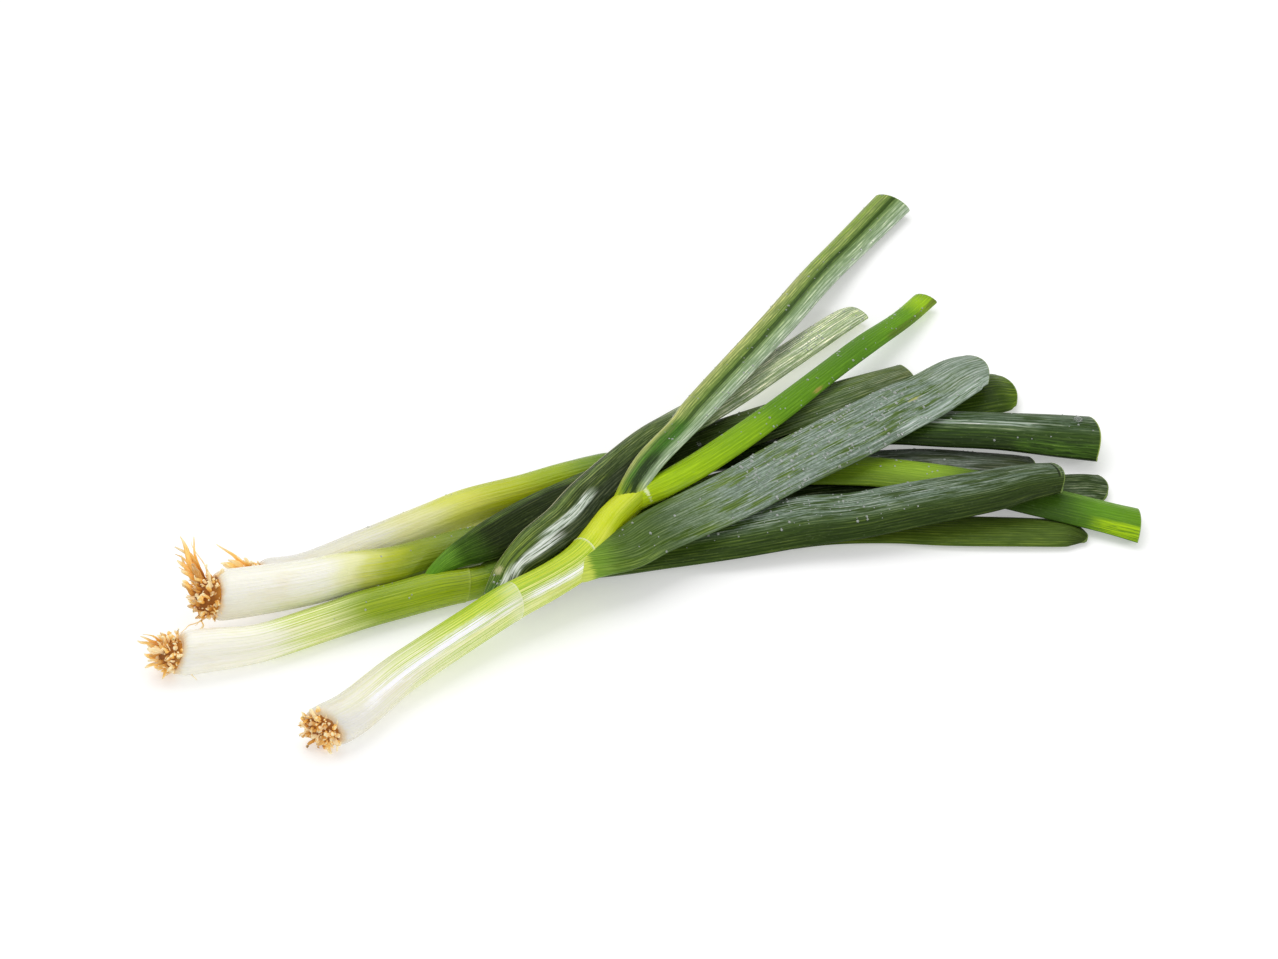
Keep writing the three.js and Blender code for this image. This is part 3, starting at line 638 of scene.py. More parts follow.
def build_shaft(letter, look, seed):
    """The layers of a shaft, each a closed skin that ends in a thin slanting rim."""
    course = Course(SHAFTS[letter])
    material = shaft_material(f"sheath_{letter}", look)
    rims = [share * course.length for share in RIMS[letter]]
    starts = [0.0] + [place - RIM_LENGTH for place in rims]
    ends = rims + [course.length]
    angle = turns(SHAFT_SIDES)[None]

    def toward(side):
        return np.cos(angle - math.radians(side))

    for layer, (first, last) in enumerate(zip(starts, ends)):
        rim = last in rims
        leaf_side, slope, slope_side, skin = look["rims"][layer] if rim else (0, 0, 0, 0)
        s = np.linspace(first, last, max(3, int((last - first) / SHAFT_STEP)))
        if layer == 0:
            s = np.concatenate([BULB_STEPS, s[s > BULB_LENGTH]])
        if rim:
            s = np.concatenate([s[:-1], last - np.array(RIM_STEPS)])
        *frames, a, _ = course.frames(s)
        inset = np.maximum(0, 1 - s / BULB_ROUNDING) if layer == 0 else np.zeros_like(s)
        radius = a * (BULB_END + (1 - BULB_END) * np.sqrt(1 - inset**2))
        if layer > 0:
            radius = radius - RIM_STEP * layer * 0.5 - RIM_STEP * (1 - smooth(first, first + RIM_LENGTH, s))
        if not rim:
            radius = radius - look["end_slim"] * smooth(starts[-1] + RIM_LENGTH - 1, last, s) * (layer > 0)
        near_end = smooth(last - RIM_LENGTH, last, s)[:, None] * rim
        away = smooth(-0.6, 0.0, -toward(leaf_side))
        lip = (RIM_LIP * away - RIM_DIP * (1 - away)) * smooth(last - LIP_LENGTH, last, s)[:, None] * rim
        ribs = ripples(angle, s[:, None], seed + layer, SHEATH_RIB_COUNTS, 22.0)
        ribs *= SHEATH_RIBS * smooth(6, 40, s)[:, None]
        swell = SHEATH_SWELL * ripples(angle, s[:, None], seed + 7, SWELL_COUNTS, 30.0)
        size = radius[:, None] + lip + ribs + swell * smooth(0, 10, s)[:, None]
        cut, cut_side = look["cut"]
        shift = slope * toward(slope_side) * near_end
        shift = shift + cut * toward(cut_side) * (1 - smooth(0, SLANT_LENGTH, s))[:, None]
        rings, reached = [place_rings(frames, size * np.cos(angle), size * np.sin(angle), shift)], [s]
        for back, wall in RIM_FOLD if rim else ():
            at = np.array([last - back])
            inner = size[-1:] - wall
            u, v = inner * np.cos(angle), inner * np.sin(angle)
            rings.append(place_rings(course.frames(at), u, v, shift[-1:]))
            reached.append(at)
        rings, s = np.concatenate(rings), np.concatenate(reached)
        shape, s = rings.shape[:2], s[:, None]
        edge = np.maximum(skin * smooth(-8, -1, s - last) * 0.6, smooth(-0.75, -0.35, s - last)) * rim
        foot = (1 - smooth(0.2, 3.2, s)) * (layer == 0)
        mean = a.mean()
        attributes = {
            "flow": spread((mean * np.cos(angle), mean * np.sin(angle), s + 37 * seed), shape),
            "place": spread((s / course.length, edge * away, foot), shape),
            "turn": spread((np.cos(angle), np.degrees(angle), 0.0), shape),
        }
        attributes = {key: with_hubs(values) for key, values in attributes.items()}
        SKINS[f"{letter}{layer + 1}_shaft"] = rings[: len(size)]
        name = f"sheath_{letter}_{layer + 1}"
        add_piece(name, *loft(rings), attributes, material, "shaft", [f"onion_{letter}_shaft"])


# ---------- leaves ----------


def leaf_section(theta, a, b, channel, slim=0.0):
    """Sideways and upward place of each point of a leaf's rings."""
    rise = np.sign(np.sin(theta)) * np.abs(np.sin(theta)) ** EDGE_SHARPNESS
    groove = np.where(rise > 0, np.exp(-((np.cos(theta) / CHANNEL_WIDTH) ** 2)), 0)
    kept = 1 - channel[:, None] * groove[None]
    return (a[:, None] - slim) * np.cos(theta)[None], (b[:, None] - slim) * rise[None] * kept


def even_turn(u, v):
    """How far round one ring each point is, by length, as an angle; and the whole length round it."""
    steps = np.hypot(np.diff(u, append=u[:1]), np.diff(v, append=v[:1]))
    around = np.concatenate([[0], np.cumsum(steps)])
    return around[:-1] / around[-1] * 2 * np.pi, around[-1]


def build_leaf(letter, number, look, seed):
    """One leaf: a flattened tube with ribs and dents, rounded at its foot and open at its trimmed tip."""
    name = f"leaf_{letter}{number}"
    course = Course(LEAVES[letter][number - 1])
    length, opening, pinch, bow = course.length, look["opening"], look["pinch"], look["bow"]
    theta = turns(LEAF_SIDES)
    s = np.linspace(opening, length - 1, int((length - opening) / LEAF_STEP))
    s = np.concatenate([opening * np.array(FOOT_STEPS), s, length - np.array(TIP_STEPS)])
    *frames, a, b = course.frames(s)
    round_start = np.sqrt(np.clip(1 - np.clip(1 - s / opening, 0, 1) ** 2, 0.02, 1))
    a = a * (FOOT_WIDTH + (1 - FOOT_WIDTH) * round_start)
    b = b * (FOOT_THICKNESS + (1 - FOOT_THICKNESS) * round_start)
    share = s / length
    b = b * (1 - pinch * smooth(length - PINCH_LENGTH, length, s) ** 2)
    channel = look["channel"] * smooth(0.02, 0.14, share) * (1 - smooth(0.35, 0.95, share))
    u, v = leaf_section(theta, a, b, channel)
    turn, around = even_turn(u[len(s) // 2], v[len(s) // 2])

    ribs = ripples(turn[None], s[:, None], seed, LEAF_RIB_COUNTS, 30.0)
    ribs *= look["ribs"] * smooth(2, 25, s)[:, None]
    dents = ripples(turn[None], s[:, None], seed + 3, DENT_COUNTS, 17.0, 1.6) * LEAF_DENTS
    dents *= smooth(8, 30, s)[:, None]
    for place, reach, deep in look["creases"]:
        crease = ripples(turn[None], s[:, None], seed + 5, CREASE_COUNTS, 1.5, 2.0) - 0.6
        dents = dents + deep * crease * np.exp(-(((s - place) / reach) ** 2))[:, None]
    v = v + (ribs + dents) * np.sign(v) * np.abs(np.sin(theta))[None]
    v = np.where((v > 0) != (np.sin(theta) > 0)[None], v * 0.2, v)

    nick = look["nick"] * ripples(turn, 0.0, seed + 9, NICK_COUNTS, 10.0)
    cut = look["slant"] * np.cos(theta) - bow * np.cos(theta) ** 2 + nick
    shift = cut[None] * smooth(length - 3 * max(bow, 3.0), length, s)[:, None]
    rings, inside, reached = [place_rings(frames, u, v, shift)], [np.zeros(u.shape)], [s]
    for back, wall, taper, deep in MOUTH:
        at = np.array([length - back])
        *end, wide, thick = course.frames(at)
        thick = thick * (1 - pinch)
        slim_u, slim_v = leaf_section(theta, wide, thick, channel[-1:], min(wall, 0.6 * thick[0]))
        rings.append(place_rings(end, slim_u * taper, slim_v * taper, cut[None]))
        inside.append(np.full((1, LEAF_SIDES), deep))
        reached.append(at)
    rings, s = np.concatenate(rings), np.concatenate(reached)[:, None]
    shape = rings.shape[:2]
    radius = around / (2 * np.pi)
    attributes = {
        "flow": spread((radius * np.cos(turn), radius * np.sin(turn), s + 53 * seed), shape),
        "place": spread((np.cos(theta), np.sin(theta), s / length), shape),
        "inside": np.concatenate(inside),
        "arc": np.broadcast_to(turn, shape) * radius,
    }
    attributes = {key: with_hubs(values) for key, values in attributes.items()}
    SKINS[f"{letter}{number}"] = rings[: len(u)]
    material = leaf_material(name, look, length)
    add_piece(name, *loft(rings), attributes, material, look["slot"], [f"onion_{letter}_leaf_{number}"])


# ---------- roots ----------


def strand(path, widths, flat, twist, sides):
    """Rings of a bent flat fibre along a path."""
    along = unit(np.gradient(path, axis=0))
    reference = np.where(np.abs(along[:, 2:]) < 0.9, UP, np.array([1.0, 0, 0]))
    side = unit(np.cross(reference, along))
    up = np.cross(along, side)
    c, n = np.cos(twist)[:, None], np.sin(twist)[:, None]
    side, up = side * c + up * n, up * c - side * n
    theta = turns(sides)
    u = widths[:, None] * np.cos(theta)
    v = widths[:, None] * flat * np.sin(theta)
    return path[:, None] + side[:, None] * u[..., None] + up[:, None] * v[..., None]


def build_roots(letter, look, seed, material):
    """The root plate of one bulb, its trimmed stubs, its flat dry roots and a few fine hairs, in one mesh."""
    random = np.random.default_rng(seed)
    course = Course(SHAFTS[letter])
    middle, along, side, up, a, _ = (x[0] for x in course.frames(np.array([0.0])))
    share, height, back, lower = look["plate"]
    plate = a * share
    cut, cut_side = SHAFT_LOOKS[letter]["cut"]
    cut_side = math.radians(cut_side)
    toward = side * math.cos(cut_side) + up * math.sin(cut_side)
    out = unit(-along + toward * cut / plate)
    side = unit(np.cross(UP, -out))
    up = np.cross(-out, side)
    middle = middle - up * lower
    tuft, flows, places = Bundle(), [], []

    def add(rings, hue, crevice_shade):
        tuft.add(rings)
        count, sides = rings.shape[:2]
        s = np.linspace(0, 1, count)[:, None] * np.ones((1, sides))
        turn = turns(sides)[None]
        length = np.linalg.norm(rings[-1].mean(0) - rings[0].mean(0))
        columns = (np.cos(turn), np.sin(turn), s * length + random.uniform(0, 400))
        flows.append(with_hubs(spread(columns, s.shape)))
        places.append(with_hubs(spread((s, hue, crevice_shade(s)), s.shape)))

    def on_dome(polar, angle, lift=0.0):
        """A point over the domed plate, and the direction out of it there."""
        ahead = (plate + lift) * math.sin(polar)
        point = middle + side * ahead * math.cos(angle) + up * ahead * math.sin(angle)
        point = point + out * ((height + lift) * math.cos(polar) - back)
        facing = side * math.sin(polar) * math.cos(angle) + up * math.sin(polar) * math.sin(angle)
        return point, facing + out * math.cos(polar)

    def angle_to(tip):
        """The way from the middle of the plate to a tip, as an angle round it."""
        toward = (tip - middle) - out * ((tip - middle) @ out)
        return math.atan2(toward @ up, toward @ side)

    theta = turns(PLATE_SIDES)
    discs = []
    for polar in np.radians(PLATE_LATITUDES):
        bumps = 1 + PLATE_BUMPS * ripples(theta, polar * 9, seed + 40, BUMP_COUNTS, 2.0, 1.5)
        ahead = plate * math.sin(polar) * bumps
        ring = middle + side * (ahead * np.cos(-theta))[:, None] + up * (ahead * np.sin(-theta))[:, None]
        discs.append(ring + out * (height * math.cos(polar) * bumps - back)[:, None])
    # The plate's painted shade grows towards its middle, among the stubs.
    add(on_table(np.array(discs)), 0.3, lambda s: 0.25 + 0.7 * smooth(0.1, 0.5, s))

    def fibre(foot, tip, width, flat, curl, hue, taper=0.5, sides=6, deep=0.8):
        t = np.linspace(0, 1, FIBRE_POINTS)
        reach = np.linalg.norm(tip - foot)
        bend = random.normal(0, 1, 3) * reach * curl
        wobble = random.normal(0, 1, (2, 3)) * reach * curl * 0.35
        path = foot + (tip - foot) * t[:, None] + bend * (t * (1 - t))[:, None] * 2
        path = path + wobble[0] * np.sin(2 * np.pi * t)[:, None]
        path = path + wobble[1] * np.sin(3 * np.pi * t)[:, None] * 0.5
        path[:, 2] = np.maximum(path[:, 2], width * 0.6 + 0.05)
        widths = width * (1 - (1 - taper) * t**1.5) * (1 + 0.12 * np.sin(9 * t + random.uniform(0, 6)))
        widths[-1] *= 0.7
        twist = random.uniform(0, 3) + random.normal(0, 1.2) * t
        # Painted shade at the foot of the fibre, as strong as deep.
        add(strand(path, widths, flat, twist, sides), hue, lambda s: deep * (1 - smooth(0.0, 0.4, s)))

    for i in range(look["stubs"]):
        polar = math.radians(look["reach"]) * math.sqrt((i + 0.5) / look["stubs"])
        foot, facing = on_dome(polar, i * GOLDEN_ANGLE + random.uniform(-0.25, 0.25), -0.7)
        facing = facing + random.normal(0, 0.5, 3)
        tip = foot + facing * (1.1 + 2.6 * random.uniform(0, 1) ** 1.6)
        flat, hue = random.uniform(0.4, 0.95), random.uniform(0, 1) ** 1.1
        width = random.choice(STUB_WIDTHS) * random.uniform(0.85, 1.15)
        fibre(foot, tip, width, flat, 0.2, hue, random.uniform(0.6, 1.0), 7, 0.95)

    lean = np.array(look["lean"], float)
    shortest, longest = look["length"]
    for i in range(look["count"]):
        polar = math.radians(look["splay"]) * math.sqrt((i + 0.5) / look["count"])
        foot, facing = on_dome(polar, i * GOLDEN_ANGLE * 1.7 + random.uniform(0, 0.5), -0.6)
        with_lean = (1 + facing @ lean / np.linalg.norm(lean)) / 2
        direction = unit(facing + lean * random.uniform(0.25, 0.7))
        reach = shortest + (longest - shortest) * with_lean**2.2 * random.uniform(0.35, 1.0)
        width, flat = random.uniform(0.75, 1.3), random.uniform(0.35, 0.6)
        hue, taper = random.uniform(0, 1) ** 1.5, random.uniform(0.3, 0.6)
        fibre(foot, foot + direction * reach, width, flat, 0.12, hue, taper)
    for tip in look["long"]:
        tip = tip + random.normal(0, 0.3, 3)
        polar = math.radians(random.uniform(35, 75))
        foot, _ = on_dome(polar, angle_to(tip) + random.normal(0, 0.25), -0.5)
        fibre(foot, tip, random.uniform(1.1, 1.6), 0.4, 0.09, random.uniform(0.1, 0.7), 0.3, 6, 0.5)
    for tip in np.array(look.get("hairs", ()), float):
        foot, _ = on_dome(math.radians(95), angle_to(tip), -0.3)
        fibre(foot, tip, HAIR_WIDTH, 0.9, 0.12, 1.0, 0.5, 5, 0.0)

    attributes = {"flow": np.concatenate(flows), "place": np.concatenate(places)}
    points = np.concatenate(tuft.points)
    add_piece(f"roots_{letter}", points, tuft.faces, attributes, material, "roots", [f"onion_{letter}_roots"])


# ---------- water drops ----------


def dome(radius, height):
    """Rings of a drop that sits on a surface, its foot a little below it."""
    theta = turns(DROP_SIDES)
    rings = []
    for lift in DROP_LEVELS:
        r = radius * math.sqrt(max(0.0, 1 - lift * lift))
        rings.append(np.stack([r * np.cos(theta), r * np.sin(theta), np.full(DROP_SIDES, height * lift)], -1))
    return np.array(rings)


def build_drops(name, groups, material):
    """Drops strewn over skins. A group gives the skin, the number of drops, the shares along it and round it
    between which they lie, and their least and greatest radius."""
    random = np.random.default_rng(5)
    drops = Bundle()
    for key, count, along, turn, sizes in groups:
        grid = SKINS[key]
        rows, sides = grid.shape[:2]
        for _ in range(count):
            i = int(random.uniform(*along) * (rows - 2))
            k = int(random.uniform(*turn) * sides) % sides
            ahead = grid[min(i + 1, rows - 1), k] - grid[max(i - 1, 0), k]
            normal = np.cross(grid[i, (k + 1) % sides] - grid[i, k - 1], ahead)
            if np.linalg.norm(normal) < 1e-9:
                continue
            normal = unit(normal)
            ahead = unit(ahead - normal * (ahead @ normal))
            radius = sizes[0] + (sizes[1] - sizes[0]) * random.uniform(0, 1) ** 2.5
            rings = dome(radius, radius * random.uniform(0.6, 0.85))
            aside = np.cross(normal, ahead) * rings[..., 1:2]
            drops.add(grid[i, k] + ahead * rings[..., :1] + aside + normal * rings[..., 2:])
    add_piece(name, np.concatenate(drops.points), drops.faces, {}, material, "water")


# ---------- the looks of each piece ----------

WHITE = (0.97, 0.945, 0.83)
DULL_WHITE = (0.84, 0.82, 0.74)
DEEP = (0.026, 0.044, 0.006)
MID = (0.095, 0.16, 0.019)

# The colours go by the share of a shaft's length. "rims" gives, for each rim, the side of the leaf there, the
# slope of the rim and its side, and how much of the thin skin shows. "bands" are painted highlight streaks, the
# wet shine put into the colour as pale stripes: middle and half width in degrees, from and to along the shaft,
# colour, strength. "cut" is the slant of the root end.
SHAFT_DEFAULTS = {
    "lean": 0.03,
    "far": ((0.58, 0.68, 0.02), 2.0, 3.0),
    "bands": (),
    "end_slim": 2.5,
    "skin": 0.75,
    "skin_colour": (0.92, 0.93, 0.76),
}

SHAFT_LOOKS = {
    "a": {
        "along": [
            (0.0, DULL_WHITE), (0.16, (0.88, 0.86, 0.7)), (0.3, (0.95, 0.94, 0.62)),
            (0.46, (0.87, 0.89, 0.38)), (0.56, (0.82, 0.85, 0.34)), (0.68, (0.76, 0.81, 0.22)),
            (0.75, (0.7, 0.77, 0.1)), (0.8, (0.66, 0.72, 0.06)), (0.86, (0.49, 0.61, 0.004)),
            (1.0, (0.37, 0.5, 0.001)),
        ],
        "veins": [
            (0.0, (0.82, 0.8, 0.62)), (0.16, (0.76, 0.78, 0.38)), (0.28, (0.46, 0.63, 0.04)),
            (0.5, (0.32, 0.54, 0.012)), (0.7, (0.34, 0.54, 0.008)), (0.78, (0.5, 0.63, 0.004)),
            (1.0, (0.4, 0.56, 0.002)),
        ],
        "vein_share": [
            (0.0, 0.05), (0.12, 0.25), (0.22, 0.7), (0.4, 0.95), (0.74, 0.95), (0.8, 0.3), (1.0, 0.15),
        ],
        "lean": 0.04,
        "far": ((0.66, 0.74, 0.02), 0.26, 0.44),
        # The bands are painted highlight streaks of the wet shine.
        "bands": [
            (131, 13, 0.1, 0.46, (1.0, 1.0, 0.97), 1.0), (142, 12, 0.44, 0.545, (1.0, 1.0, 0.92), 0.9),
            (146, 11, 0.575, 0.7, (1.0, 1.0, 0.92), 1.0), (150, 11, 0.66, 0.765, (0.98, 1.0, 0.86), 0.9),
            (178, 6, 0.56, 0.74, (0.86, 0.9, 0.4), 0.45), (172, 9, 0.28, 0.48, (0.8, 0.86, 0.5), 0.4),
            (126, 8, 0.8, 0.97, (0.8, 0.86, 0.14), 0.35), (120, 12, 0.9, 0.98, (0.76, 0.82, 0.1), 0.3),
        ],
        "rims": [(0, 2.3, 100, 1.0), (205, 2.0, 60, 0.0), (45, 2.4, 200, 0.0)], "cut": (3.6, 175),
    },
    "b": {
        "along": [
            (0.0, WHITE), (0.26, (0.99, 0.96, 0.82)), (0.42, (0.9, 0.9, 0.5)), (0.6, (0.34, 0.45, 0.02)),
            (0.85, (0.38, 0.5, 0.008)), (1.0, (0.14, 0.26, 0.012)),
        ],
        "veins": [
            (0.0, (0.87, 0.86, 0.66)), (0.35, (0.5, 0.66, 0.05)), (0.65, (0.14, 0.25, 0.006)),
            (1.0, (0.08, 0.17, 0.01)),
        ],
        "vein_share": [(0.0, 0.05), (0.22, 0.2), (0.4, 0.95), (0.75, 0.55), (1.0, 0.5)],
        "rims": [(-20, 1.8, 70, 0.3)], "skin_colour": (0.5, 0.6, 0.12), "skin": 0.6, "end_slim": 0.3,
        "cut": (3.0, 100),
    },
    "c": {
        "along": [
            (0.0, WHITE), (0.36, (0.98, 0.96, 0.84)), (0.46, (0.88, 0.88, 0.48)), (0.53, (0.66, 0.69, 0.12)),
            (0.6, (0.44, 0.5, 0.012)), (0.7, (0.22, 0.3, 0.012)), (0.85, (0.18, 0.27, 0.01)),
            (1.0, (0.14, 0.23, 0.01)),
        ],
        "veins": [
            (0.0, (0.87, 0.86, 0.66)), (0.45, (0.76, 0.78, 0.4)), (0.66, (0.34, 0.42, 0.02)),
            (1.0, (0.1, 0.18, 0.01)),
        ],
        "vein_share": [(0.0, 0.05), (0.4, 0.2), (0.6, 0.7), (1.0, 0.6)], "cut": (3.5, 115),
    },
    "d": {
        "along": [
            (0.0, DULL_WHITE), (0.28, (0.78, 0.76, 0.62)), (0.42, (0.78, 0.77, 0.38)),
            (0.54, (0.68, 0.71, 0.09)), (0.66, (0.48, 0.55, 0.006)), (0.8, (0.33, 0.46, 0.004)),
            (0.9, (0.17, 0.3, 0.01)), (1.0, (0.1, 0.2, 0.012)),
        ],
        "veins": [
            (0.0, (0.87, 0.86, 0.66)), (0.5, (0.68, 0.7, 0.2)), (0.8, (0.38, 0.5, 0.006)),
            (1.0, (0.14, 0.26, 0.015)),
        ],
        "vein_share": [(0.0, 0.05), (0.5, 0.3), (0.8, 0.5), (1.0, 0.6)], "cut": (1.0, 140),
    },
}

# What most leaves share, first the keys of their colours and then those of their form. "shade" is painted
# shade on the near side, and the pale wax bloom is laid with painted sheen on the upper side. "bands", "marks"
# and
# "end_lines" are streaks, spots and lines near the tip: middle and half width across, the place along, colour,
# strength. Many of the bands are painted highlights and a few are painted shade.
LEAF_DEFAULTS = {
    "slot": "leaf_green",
    "wander": 0.03,
    "calm_foot": 0.05,
    "streak": 0.6,
    "shade": (0.0, -0.5, 0.0),
    "shade_until": (3.0, 2.0),
    "bloom": (0.0, (0.3, 0.4, 0.34), [(0, 0), (1, 1)]),
    "bloom_and_sheen_side": (-3.0, -2.0),
    "bloom_cover": (0.44, 0.53),
    "bands": (),
    "marks": (),
    "glow": (1.7, 1.55, 1.65),
    "edge": (0.42, 0.5, 0.2),
    "edge_share": 0.0,
    "edge_from": 0.955,
    "end_lines": [(0.15, 0.2, -1.1, 1.1, (0.26, 0.36, 0.09), 0.6)],
    "gloss": 0.3,
    "specular": 0.11,
    "opening": 9.0,
    "pinch": 0.0,
    "channel": 0.0,
    "ribs": 0.07,
    "creases": (),
    "slant": 0.0,
    "bow": 0.0,
    "nick": 0.0,
}

